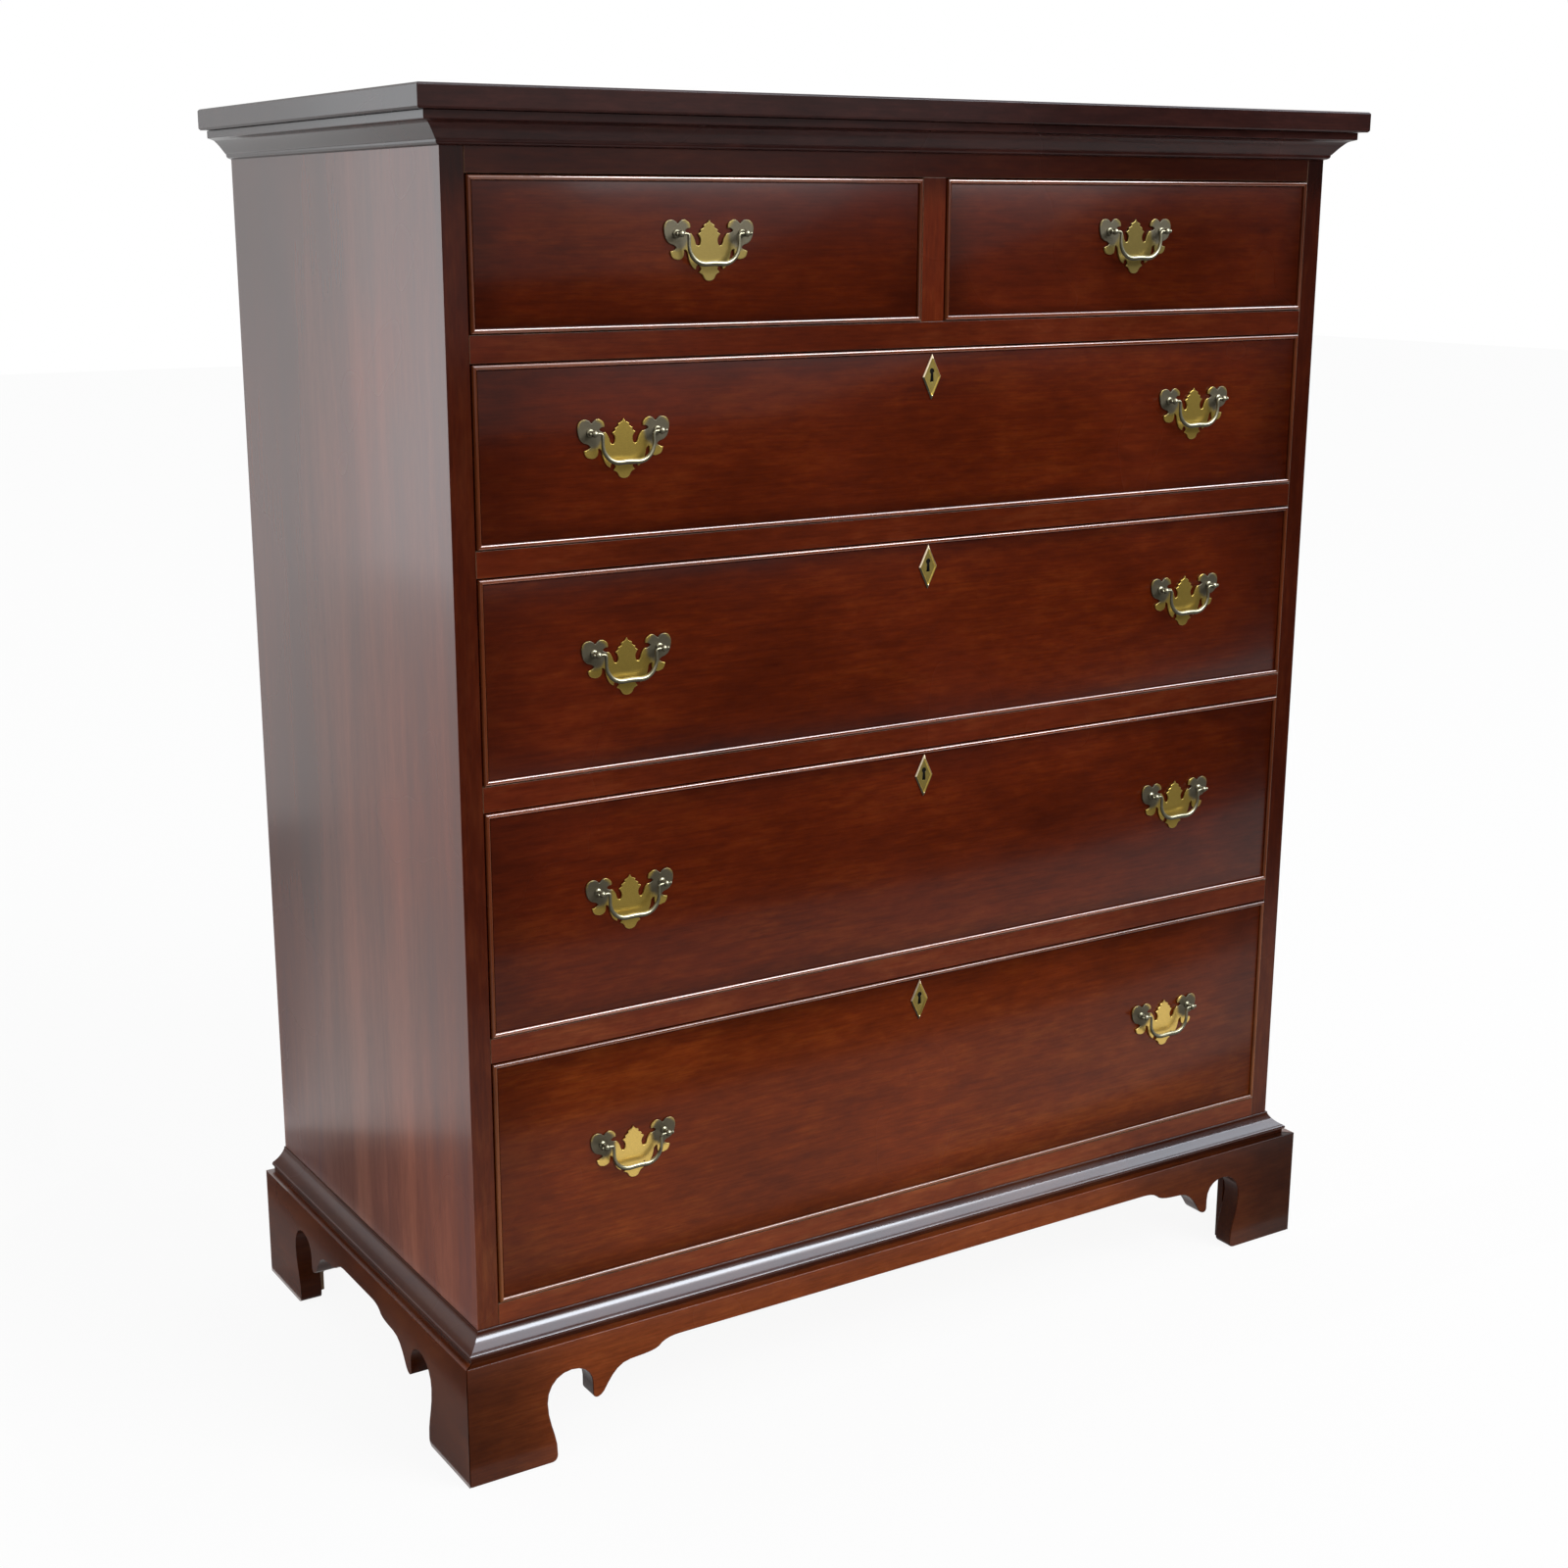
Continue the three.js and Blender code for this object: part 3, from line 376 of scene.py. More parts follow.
def polished_wood(name, tones, grain, wood, ends=None, tint=1.0, coat=None, relief=1.0,
                  gloss=1.0, figured=(3.0, 10.0), smooth=0.0, to_right=0.0, under_crown=0.0,
                  warm_front=False, shine=None):
    """Mahogany under a rubbed satin polish, its grain along one axis. ends gives how far the
    darkening at the sides and at the top and bottom reaches in, as shares, and how dark it is;
    on the drawer fronts this is partly toned edges and partly painted shade. figured gives the
    figure's scales along and across the grain. to_right and under_crown give how much
    painted shade darkens the wood on the right and how dark the painted shadow of the crown
    moulding is just below it, and warm_front makes it redder towards the front. The wood is
    also lighter and greyer near the floor, a painted reflection of the floor, and darker near
    the top, painted shade. shine holds more sockets of the surface."""
    dark, mid, light = (tuple(tint * c for c in t) for t in tones)
    recipe = Recipe(name)
    along, across = figured
    figure = recipe.along(grain, along, across, 3.0, 0.55, 0.5)
    mottle = recipe.along(grain, 6.0 * along, 5.0 * across, 4.0, 0.6, 0.3, (3.1, 5.7, 1.9))
    fine = recipe.along(grain, 45.0, 190.0, 3.0, 0.6, 0.2, (1.2, 0.7, 2.3))
    streaks = recipe.along(grain, 22.0, 420.0, 3.0, 0.6, 0.2)
    pores = recipe.along(grain, 90.0, 1500.0, 2.0, 0.6)
    clouds = recipe.clouded(4.5, 2.0, 0.5, 0.0, (9.3, 2.2, 4.1))
    of_figure, of_mottle, of_fine = 0.34, 0.36, 0.3 * relief
    mixed = recipe.number("MULTIPLY", figure, of_figure)
    mixed = recipe.number("MULTIPLY_ADD", mottle, of_mottle, mixed)
    mixed = recipe.number("MULTIPLY_ADD", fine, of_fine, mixed)
    evened = recipe.number("DIVIDE", mixed, of_figure + of_mottle + of_fine)
    colour = recipe.ramp(evened, ((MOST[0], dark), (0.5, mid), (MOST[1], light)))
    colour = recipe.toned(colour, streaks, 0.28, 0.72, 1.0 - 0.15 * relief, 1.0 + 0.12 * relief)
    pored = recipe.ranged(pores, 0.56, 0.72, 0.0, 0.25 * relief)
    colour = recipe.blend("MIX", pored, colour, tuple(c * 0.4 for c in dark))
    colour = recipe.toned(colour, clouds, *MOST, 0.86, 1.12)
    x, y, z = recipe.parts()
    # Painted reflection of the floor, near the floor
    colour = recipe.times(colour, tuple(wood.floor_reflection_tint), recipe.ranged(z, *NEAR_FLOOR, 1.0, 0.0))
    # Painted shade near the top
    colour = recipe.toned(colour, z, *NEAR_TOP, 1.0, 1.0 - wood.high_up_shade)
    # Painted shade towards the right
    if to_right:
        colour = recipe.toned(colour, x, *TO_RIGHT, 1.0, 1.0 - to_right)
    # Painted shadow of the crown moulding
    if under_crown:
        colour = recipe.toned(colour, z, *NEAR_CROWN, 1.0, 1.0 - under_crown)
    if warm_front:
        forward = recipe.ranged(y, *FROM_FRONT, 1.0, 0.0)
        colour = recipe.times(colour, tuple(wood.front_warmth), forward)
    if ends:
        across_share, upright_share, depth = ends
        open_face = from_edges(recipe, X_GRAIN, across_share)
        if upright_share:
            upright = from_edges(recipe, Z_GRAIN, upright_share)
            open_face = recipe.number("MULTIPLY", open_face, upright)
        open_face = recipe.number("MULTIPLY", open_face, 0.8)
        uneven = recipe.number("MULTIPLY_ADD", clouds, 0.45, open_face)
        colour = recipe.toned(colour, uneven, 0.1, 0.92, 1.0 - depth, 1.05)
    roughness = wood.polish_roughness - smooth
    rough = recipe.ranged(clouds, *MOST, roughness - 0.02, roughness + 0.03)
    height = recipe.number("SUBTRACT", recipe.number("MULTIPLY", streaks, 0.5), pored)
    recipe.bump(height, 0.00003 * relief, 0.4)
    if coat is None:
        coat = wood.polish_coat * gloss
    return recipe.finish(Base_Color=colour, Roughness=rough, Coat_Weight=coat,
                         Coat_Roughness=0.12 - smooth / 2,
                         Specular_IOR_Level=wood.polish_sheen * gloss, **(shine or {}))


def plain_wood(name, tones, grain, end_grain=False):
    """Planed wood without polish"""
    dark, light = (tuple(t) for t in tones)
    recipe = Recipe(name)
    along = 160.0 if end_grain else 3.0
    figure = recipe.along(grain, along * 0.4, 40.0, 3.0, 0.6, 0.6)
    fibres = recipe.along(grain, along, 420.0, 3.0, 0.6)
    colour = recipe.ramp(figure, ((0.32, dark), (0.68, light)))
    colour = recipe.toned(colour, fibres, *MOST, 0.78, 1.12)
    rough = recipe.ranged(fibres, *MOST, 0.62, 0.8)
    recipe.bump(fibres, 0.00012, 0.7)
    return recipe.finish(Base_Color=colour, Roughness=rough)


def aged_brass(name, bright, dull, roughness, wear_and_light, lift, metal=0.92):
    """Brass with tarnish in clouds. wear_and_light picks where it is rubbed and where light is
    painted, from 0 to 1; the rest gets tarnish and painted shade. lift is how much rougher the
    tarnish is."""
    recipe = Recipe(name)
    clouds = recipe.clouded(260.0, 4.0, 0.6, 0.4)
    specks = recipe.clouded(1400.0, 2.0, 0.5)
    # High where rubbed or where painted light falls, low where tarnish or painted shade is
    rubbed = recipe.number("SUBTRACT", wear_and_light(recipe), 0.35)
    mask = recipe.number("MULTIPLY_ADD", clouds, 0.7, rubbed)
    blurred = (0.1, 0.9)
    colour = recipe.blend("MIX", recipe.ranged(mask, *blurred), tuple(dull), tuple(bright))
    colour = recipe.toned(colour, specks, *MOST, 0.88, 1.08)
    rough = recipe.ranged(mask, *blurred, roughness + lift, roughness - 0.05)
    recipe.bump(recipe.number("ADD", clouds, specks), 0.00003, 0.35)
    return recipe.finish(Base_Color=colour, Roughness=rough, Metallic=metal)


def shade_by_posts(recipe):
    """0 by the two posts of a pull, where shade is painted round them, and 1 past them"""
    x, _, z = recipe.parts()
    aside = recipe.number("SUBTRACT", recipe.number("ABSOLUTE", x),
                          bpy.context.scene.chest_pulls.post_spacing / 2)
    both = recipe.number("MULTIPLY_ADD", z, z, recipe.number("MULTIPLY", aside, aside))
    return recipe.ranged(recipe.number("SQRT", both), 0.0085, 0.0185)


def lit_upper_side(recipe):
    """0 on what faces down, and 1 on what faces up: painted light on top and painted shade below"""
    return recipe.ranged(recipe.parts("Normal")[2], -0.45, 0.4, 0.05)


def everywhere(_):
    return 0.75


def nowhere(_):
    return 0.15


# A dark card that stands in for shade, with a mottle: painted shade
def shade_card_finish(name, colour):
    recipe = Recipe(name)
    card_mottle = recipe.clouded(300.0)
    shown = recipe.blend("MIX", card_mottle, colour, tuple(c * 0.5 for c in colour))
    return recipe.finish(Base_Color=shown, Roughness=0.9, Specular_IOR_Level=0.05)


MADE = {}


def finish_named(name):
    """The material of that name, made on first use"""
    if name in MADE:
        return MADE[name]
    wood, brass = bpy.context.scene.chest_wood, bpy.context.scene.chest_brass
    fronts, rails, bases, cases, tops = (
        [getattr(wood, f"{board}_{depth}") for depth in ("dark", "mid", "light")]
        for board in ("front", "rail", "base", "case", "top"))
    beads = (wood.rail_dark, wood.bead_colour, wood.rail_light)
    linings = (wood.lining_dark, wood.lining_light)
    raws = (wood.raw_dark, wood.raw_light)
    satin, right = {"gloss": wood.front_gloss}, {"to_right": wood.right_shade}
    crown = {"under_crown": wood.crown_shade}
    rubbed = {"IOR": 1.8, "Specular_Tint": tuple(wood.bead_shine)}
    cross_bead = {"coat": wood.bead_coat, "relief": 0.05, "smooth": 0.12, "shine": rubbed, **right}

    def polished(tones, grain, **more):
        return lambda: polished_wood(name, tones, grain, wood, **more)

    def planed(tones, grain, end_grain=False):
        return lambda: plain_wood(name, tones, grain, end_grain)

    def plate(bright, dull=brass.plate_dull, wear_and_light=shade_by_posts):
        return lambda: aged_brass(name, bright, dull, brass.plate_roughness, wear_and_light, 0.1, 0.8)

    def bar(bright, roughness=brass.bail_roughness, wear_and_light=lit_upper_side, lift=0.12):
        return lambda: aged_brass(name, bright, brass.bail_tarnish_and_shade, roughness, wear_and_light, lift)

    makers = {
        # Darker at the edges: partly toned edges, partly painted shade
        "front_mahogany": polished(fronts, X_GRAIN, ends=(0.13, 0.17, wood.edge_shade), **satin,
                                   **right),
        "bead_mahogany": polished(beads, X_GRAIN, gloss=4.8, **cross_bead),
        # Darker, duller copy of the bead on the last drawer: painted shade
        "bead_low_mahogany": polished(beads, X_GRAIN, tint=0.6, gloss=2.3, **cross_bead),
        # Darker, duller copy of the bead on its upright sides: painted shade
        "bead_upright_mahogany": polished(beads, Z_GRAIN, coat=wood.bead_coat, relief=0.3,
                                          gloss=0.6, tint=0.6),
        "rail_mahogany": polished(rails, X_GRAIN, **satin, **right, **crown),
        "upright_mahogany": polished(rails, Z_GRAIN, tint=1.25, **satin, **crown),
        "stile_mahogany": polished(rails, Z_GRAIN, tint=wood.stile_shade, **satin, **right,
                                   **crown),
        "side_mahogany": polished(cases, Z_GRAIN, relief=0.3, figured=(0.4, 5.5),
                                  warm_front=True),
        "top_mahogany": polished(tops, X_GRAIN, **satin),
        "top_end_mahogany": polished(tops, Y_GRAIN, relief=0.25),
        "table_mahogany": polished(rails, X_GRAIN, tint=1.3, figured=(1.2, 8.0)),
        "moulding_mahogany": polished(rails, X_GRAIN, coat=wood.moulding_coat, tint=0.3,
                                      relief=0.2, smooth=0.05, **right),
        "moulding_end_mahogany": polished(rails, Y_GRAIN, tint=0.4, relief=0.2, gloss=0.35),
        "base_mahogany": polished(bases, X_GRAIN, ends=(0.16, 0.0, wood.foot_shade), **satin,
                                  to_right=wood.foot_right_shade),
        "base_end_mahogany": polished(bases, Y_GRAIN, relief=0.15, tint=0.85, gloss=2.5),
        # Darker: partly the sawn faces' own colour, partly painted shade inside the base
        "cut_mahogany": polished(rails, X_GRAIN, tint=0.28, coat=0.0, gloss=0.3),
        "lining_side": planed(linings, Y_GRAIN),
        "lining_back": planed(linings, X_GRAIN),
        "lining_end": planed(linings, Z_GRAIN, True),
        "raw_cross": planed(raws, X_GRAIN),
        "raw_deep": planed(raws, Y_GRAIN),
        "raw_upright": planed(raws, Z_GRAIN),
        # Plate brass shaded round the posts, a shaded copy high up and a lit copy low down: painted
        # shade and painted light
        "plate_brass": plate(brass.plate_bright),
        "plate_brass_high": plate(brass.plate_high),
        "plate_brass_low": plate(brass.plate_low),
        "escutcheon_field": plate(brass.plate_bright, brass.field_dull, nowhere),
        "escutcheon_brass": bar(brass.plate_bright, brass.plate_roughness, everywhere, 0.1),
        # Rims, pins, bails and posts lighter on their upper faces and darker below: painted light
        # and shade, with rubbing and tarnish
        "rim_brass": bar(brass.rim_rubbed_and_lit),
        "post_brass": bar(brass.bail_rubbed_and_lit),
        "keyhole_dark": lambda: shade_card_finish(name, (0.006, 0.005, 0.004)),
    }
    MADE[name] = makers[name]()
    return MADE[name]


# Pieces


def box_of(node):
    low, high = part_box(node)
    return Vector(low), Vector(high)


def put_in(node, suffix, mesh, instead=True):
    """A piece on a node's body, that stands in the node's place or is added to it"""
    piece = bpy.data.objects.new(node + suffix, mesh)
    bpy.context.scene.collection.objects.link(piece)
    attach(piece, BODY_OF[node])
    if instead:
        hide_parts(node)
    return piece


def finished(node, mesh):
    return put_in(node, "_finished", mesh)


def begun(name, points, faces, finishes, picked=()):
    """A new mesh with its finishes, and its shape to work on"""
    mesh = bpy.data.meshes.new(name)
    mesh.from_pydata([tuple(p) for p in points], [], faces)
    for finish in finishes:
        mesh.materials.append(finish_named(finish))
    if picked:
        mesh.polygons.foreach_set("material_index", picked)
    shape = bmesh.new()
    shape.from_mesh(mesh)
    return mesh, shape


def ended(mesh, shape):
    shape.to_mesh(mesh)
    shape.free()
    mesh.shade_smooth()
    return mesh


def copy_of(node, finishes):
    """A new mesh with the finishes, and a node's own shape to work on"""
    source = NODES[node].data
    mesh, shape = begun(node + "_shape", [v.co for v in source.vertices],
                        [p.vertices[:] for p in source.polygons], finishes)
    bmesh.ops.remove_doubles(shape, verts=shape.verts, dist=WELD)
    return mesh, shape


def mesh_from(name, points, faces, finishes, picked=()):
    mesh, shape = begun(name, points, faces, finishes, picked)
    bmesh.ops.recalc_face_normals(shape, faces=shape.faces)
    return ended(mesh, shape)


def flatten(shape, **more):
    bmesh.ops.dissolve_limit(shape, angle_limit=math.radians(FLAT), verts=shape.verts,
                             edges=shape.edges, **more)


def rounded(piece, ease, limit=BOARD_CORNER):
    """Rounds the edges that are sharper than the limit, in degrees"""
    bevel = piece.modifiers.new("eased_edges", "BEVEL")
    bevel.width = ease
    bevel.segments = 2
    bevel.limit_method = "ANGLE"
    bevel.angle_limit = math.radians(limit)
    bevel.harden_normals = True
    bevel.miter_outer = "MITER_ARC"
    return piece


def eased_copy(node, ease, finishes, pick=None, limit=BOARD_CORNER, joined=True):
    """A node's own shape with its flat faces joined up, where joined says so, and its edges
    eased. pick gives the number of a face's finish from its centre and its normal."""
    mesh, shape = copy_of(node, finishes)
    if pick:
        for face in shape.faces:
            face.material_index = pick(face.calc_center_median(), face.normal)
    if joined:
        flatten(shape, delimit={"MATERIAL"})
    return rounded(finished(node, ended(mesh, shape)), ease, limit)


def curve_points(start, steps, facets):
    """Points along lines, quadratic curves and cubic curves, from steps of 2, 4 or 6 numbers"""
    points = [Vector(start)]
    for step in steps:
        stops = [points[-1]] + [Vector(step[i:i + 2]) for i in range(0, len(step), 2)]
        pieces = 1 if len(stops) == 2 else facets
        for piece in range(1, pieces + 1):
            level = list(stops)
            while len(level) > 1:
                level = [a.lerp(b, piece / pieces) for a, b in zip(level, level[1:])]
            points.append(level[0])
    return points


def skin(sections, first=0):
    """Faces between matching rings of points, and over the first and the last ring"""
    around = len(sections[0])
    last = first + (len(sections) - 1) * around
    faces = []
    for base in range(first, last, around):
        for i in range(around):
            j = (i + 1) % around
            faces.append((base + i, base + j, base + around + j, base + around + i))
    faces.append(tuple(reversed(range(first, first + around))))
    faces.append(tuple(range(last, last + around)))
    return faces


def all_points(sections):
    return [point for ring in sections for point in ring]


def circle(steps):
    """Turns once round"""
    return [2 * math.pi * step / steps for step in range(steps)]


# Case


class CHEST_OT_case_boards(Operator):
    """Sides, top, rails, dust frames, divider and back of the case"""

    bl_idname = "chest.case_boards"
    bl_label = "Case boards"

    def execute(self, context):
        edges = context.scene.chest_edges
        low, high = box_of("case_side_right")

        def side_finish(centre, normal):
            if normal.y < -ALONG and centre.y < low.y + OUTSIDE:
                return 1
            return 2 if abs(centre.x) < high.x - OUTSIDE else 0

        def around_top(centre, normal):
            if abs(normal.x) > ALONG:
                return 1
            return 2 if normal.z > ALONG else 0

        def behind(centre, normal):
            return 0 if centre.y < low.y + OUTSIDE else 1

        for node in ("case_side_left", "case_side_right"):
            eased_copy(node, edges.board_ease,
                       ("side_mahogany", "stile_mahogany", "raw_upright"), side_finish)
        eased_copy("top_board", edges.rail_ease,
                   ("top_mahogany", "top_end_mahogany", "table_mahogany"), around_top)
        eased_copy("back_panel", edges.board_ease, ("raw_upright",))
        for node in ("top_rail", "bottom_rail", *(f"dust_frame_{n}" for n in range(1, 5))):
            eased_copy(node, edges.rail_ease, ("rail_mahogany", "raw_cross"), behind)
        eased_copy("drawer_divider", edges.rail_ease, ("upright_mahogany", "raw_deep"), behind)
        return {"FINISHED"}


CROWN_STEPS = (
    (0.03, 0.02), (0.2, 0.045, 0.2, 0.15), (0.205, 0.185), (0.24, 0.205),
    (0.36, 0.33, 0.5, 0.5, 0.68, 0.63), (0.72, 0.67, 0.97, 0.73), (1.0, 0.735, 1.0, 0.765),
    (1.0, 1.0), (0.0, 1.0),
)
BASE_MOULDING_STEPS = (
    (0.85, 0.0), (0.85, 0.18), (0.985, 0.205), (1.0, 0.21, 1.0, 0.235), (1.0, 0.26),
    (1.0, 0.32, 0.88, 0.36), (0.55, 0.48, 0.25, 0.66, 0.09, 0.9), (0.08, 0.985), (0.03, 1.0),
    (0.0, 1.0),
)


def mitred_run(node, steps, facets, ease, finishes):
    """A moulding along one side, the front and the other side of the case"""
    low, high = box_of(node)
    case_low, case_high = box_of("case_side_right")
    reach = high.x - case_high.x
    profile = []
    for out, up in curve_points((0.0, 0.0), steps, facets):
        profile.append((GLUE_LINE + (reach - GLUE_LINE) * out, low.z + (high.z - low.z) * up))
    right, front, back = case_high.x, case_low.y, high.y
    sections = [[(side * (right + out), back if at_back else front - out, z)
                 for out, z in profile]
                for side, at_back in ((1, True), (1, False), (-1, False), (-1, True))]
    runs = [run for run in (1, 0, 1) for _ in profile] + [1, 1]
    mesh = mesh_from(node + "_shape", all_points(sections), skin(sections), finishes, runs)
    return rounded(finished(node, mesh), ease, MOULDING_CORNER)


class CHEST_OT_mouldings(Operator):
    """Crown and base mouldings with mitred corners"""

    bl_idname = "chest.mouldings"
    bl_label = "Mouldings"

    def execute(self, context):
        edges = context.scene.chest_edges
        for node, steps, kind in (("crown_moulding", CROWN_STEPS, "top"),
                                  ("base_moulding", BASE_MOULDING_STEPS, "moulding")):
            mitred_run(node, steps, edges.curve_steps, edges.moulding_ease,
                       (f"{kind}_mahogany", f"{kind}_end_mahogany"))
        return {"FINISHED"}


class CHEST_OT_bracket_base(Operator):
    """Scroll-cut base boards and rear brackets"""

    bl_idname = "chest.bracket_base"
    bl_label = "Bracket base"

    def execute(self, context):
        edges = context.scene.chest_edges
        outer = box_of("base_front")[1].x - edges.base_thickness

        def inside_front(centre, normal):
            return 1 if normal.z < ALONG and normal.y > -0.5 else 0

        def inside_side(centre, normal):
            outside = normal.z > ALONG or abs(normal.x) > ALONG
            return 0 if abs(centre.x) > outer and outside else 1

        eased_copy("base_front", edges.foot_ease, ("base_mahogany", "cut_mahogany"), inside_front)
        for node in ("base_left", "base_right"):
            eased_copy(node, edges.foot_ease, ("base_end_mahogany", "cut_mahogany"), inside_side)
        for node in ("rear_bracket_left", "rear_bracket_right"):
            eased_copy(node, edges.foot_ease, ("raw_cross",))
        return {"FINISHED"}


# Drawers


def beaded_front(node, edges):
    """A drawer front whose bead and face are drawn anew on the back of the old shape"""
    low, high = box_of(node)
    face = high.y - edges.front_thickness
    # The last drawer's bead gets a darker, duller copy: painted shade
    bead = "bead_low_mahogany" if node == "drawer_6_front" else "bead_mahogany"
    mesh, shape = copy_of(node, ("front_mahogany", bead, "lining_back", "bead_upright_mahogany"))

    def near(value, *levels):
        return any(abs(value - level) < TOUCH for level in levels)

    before = [v for v in shape.verts if v.co.y < face + edges.quirk_depth + TOUCH]
    at_edge = [v for v in before if near(v.co.y, face) and near(v.co.x, low.x, high.x)
               and near(v.co.z, low.z, high.z)]
    if len(at_edge) != 4:
        raise RuntimeError(f"{node} has {len(at_edge)} corners at its face")
    bmesh.ops.delete(shape, geom=[v for v in before if v not in at_edge], context="VERTS")
    loose = [f for f in shape.faces if all(near(v.co.y, face) for v in f.verts)]
    bmesh.ops.delete(shape, geom=loose, context="FACES_ONLY")
    flatten(shape)
    for old in shape.faces:
        old.material_index = 2 if old.normal.y > 0.5 else 0

    # How far in from the edge and how deep behind the face each ring of corners is
    rings = []
    for step in range(1, edges.bead_steps + 1):
        turn = math.pi * step / edges.bead_steps
        rings.append((edges.bead_width * (1 - math.cos(turn)) / 2,
                      -edges.bead_proud * math.sin(turn)))
    ease = edges.quirk_width * 0.25
    far = edges.bead_width + edges.quirk_width
    rings += [(edges.bead_width, edges.quirk_depth), (far, edges.quirk_depth), (far, ease),
              (far + ease * 0.3, ease * 0.3), (far + ease, 0.0)]

    middle = (low + high) / 2
    corners = ((0, 0), (1, 0), (1, 1), (0, 1))
    previous = [next(v for v in at_edge if (v.co.x > middle.x, v.co.z > middle.z) == corner)
                for corner in corners]
    for number, (inset, depth) in enumerate(rings):
        xs, zs = (low.x + inset, high.x - inset), (low.z + inset, high.z - inset)
        ring = [shape.verts.new((xs[i], face + depth, zs[k])) for i, k in corners]
        for i in range(4):
            j = (i + 1) % 4
            quad = shape.faces.new((previous[i], previous[j], ring[j], ring[i]))
            if number < edges.bead_steps:
                # The upright sides of the bead get their darker, duller copy: painted shade
                quad.material_index = 3 if i % 2 else 1
        previous = ring
    shape.faces.new(previous).material_index = 0
    bmesh.ops.recalc_face_normals(shape, faces=shape.faces)
    ended(mesh, shape).set_sharp_from_angle(angle=math.radians(BEAD_CORNER))
    return finished(node, mesh)


class CHEST_OT_drawer_fronts(Operator):
    """Drawer fronts with a round cock bead, mitred at the corners"""

    bl_idname = "chest.drawer_fronts"
    bl_label = "Drawer fronts"

    def execute(self, context):
        for number in DRAWERS:
            beaded_front(f"drawer_{number}_front", context.scene.chest_edges)
        return {"FINISHED"}


class CHEST_OT_drawer_linings(Operator):
    """Drawer sides, backs and bottoms"""

    bl_idname = "chest.drawer_linings"
    bl_label = "Drawer linings"

    def execute(self, context):
        edges = context.scene.chest_edges
        for number in DRAWERS:
            low, high = box_of(f"drawer_{number}_box")
            sides = low.x + edges.lining_thickness, high.x - edges.lining_thickness

            def grain(centre, normal, sides=sides):
                if sides[0] + OUTSIDE <= centre.x <= sides[1] - OUTSIDE:
                    return 1
                return 2 if abs(normal.y) > ALONG else 0

            eased_copy(f"drawer_{number}_box", edges.lining_ease,
                       ("lining_side", "lining_back", "lining_end"), grain)
            eased_copy(f"drawer_{number}_bottom", edges.rail_ease, ("lining_back",))
        return {"FINISHED"}


# Pulls

PLATE_TOP = (0.0, 1.0)
PLATE_STEPS = (
    (0.032, 0.953), (0.123, 0.913), (0.114, 0.875), (0.195, 0.838), (0.182, 0.802),
    (0.255, 0.769), (0.186, 0.715, 0.189, 0.66), (0.195, 0.577, 0.25, 0.577),
    (0.3, 0.585, 0.318, 0.668), (0.345, 0.735, 0.405, 0.779), (0.489, 0.775, 0.536, 0.822),
    (0.495, 0.87, 0.423, 0.864), (0.4, 0.941, 0.491, 0.982), (0.555, 1.024, 0.627, 0.988),
    (0.7, 0.933), (0.759, 1.004, 0.845, 1.002), (0.991, 0.996, 1.0, 0.854),
    (0.991, 0.644, 0.839, 0.603), (0.76, 0.592, 0.724, 0.542), (0.775, 0.5, 0.862, 0.486),
    (0.84, 0.37, 0.75, 0.36), (0.703, 0.35), (0.62, 0.35, 0.575, 0.401),
    (0.553, 0.456, 0.563, 0.51), (0.527, 0.53, 0.482, 0.47), (0.468, 0.368, 0.423, 0.296),
    (0.382, 0.217, 0.3, 0.186), (0.305, 0.237, 0.255, 0.269), (0.195, 0.257, 0.182, 0.19),
    (0.234, 0.138), (0.159, 0.123, 0.132, 0.075), (0.1, 0.0, 0.0, 0.0),
)

# Radii of a post, and how far each is from the plate's face or from the ball's own radius
POST_COLLAR = (
    (0.0034, 0.0003), (0.0035, -0.0002), (0.0035, -0.0009), (0.0031, -0.0013),
    (0.0024, -0.0015), (0.0021, -0.002), (0.0018, -0.003),
)
POST_NECK = ((0.0018, 0.0013), (0.0021, 0.0007), (0.0023, 0.0003), (0.0023, 0.0),
             (0.002, -0.0004))
POST_THROAT = 0.0019

# The bail's flat grip, its arms, their drop from the hinge and the straight part of it, and the
# bend into the pins. Then its radii at the grip, beside it, at the arms and at the knobs.
BAIL_FLAT, BAIL_ARM, BAIL_DROP, BAIL_STRAIGHT, BAIL_BEND = 0.009, 0.0243, 0.0244, 0.009, 0.0024
BAIL_GRIP, BAIL_SHOULDER, BAIL_THIN, BAIL_KNOB = 0.0023, 0.00225, 0.0014, 0.0017

# Radii of a washer, a nut's middle and a shank, and how far each is from the drawer front. The
# nut's radii are shares of its own.
WASHER = ((0.0052, 0.0001), (0.0052, 0.0008), (0.002, 0.0008))
NUT = ((0.9, 0.0009), (1.0, 0.0013), (1.0, 0.0033), (0.9, 0.0037))
SHANK = ((0.0017, 0.0036), (0.0017, 0.0062), (0.0012, 0.0067))

# Half the width of the dark card behind a keyhole, painted shade standing in for the hole, and its
# reach below and above the middle
KEYHOLE_ACROSS, KEYHOLE_BELOW, KEYHOLE_ABOVE = 0.003, 0.0052, 0.0084


def pull_names():
    return sorted(node for node in NODES if node.startswith("bail_"))


def hinge_of(bail):
    """The middle of a bail's hinge line"""
    return HINGE_OF[BODY_OF[bail]]


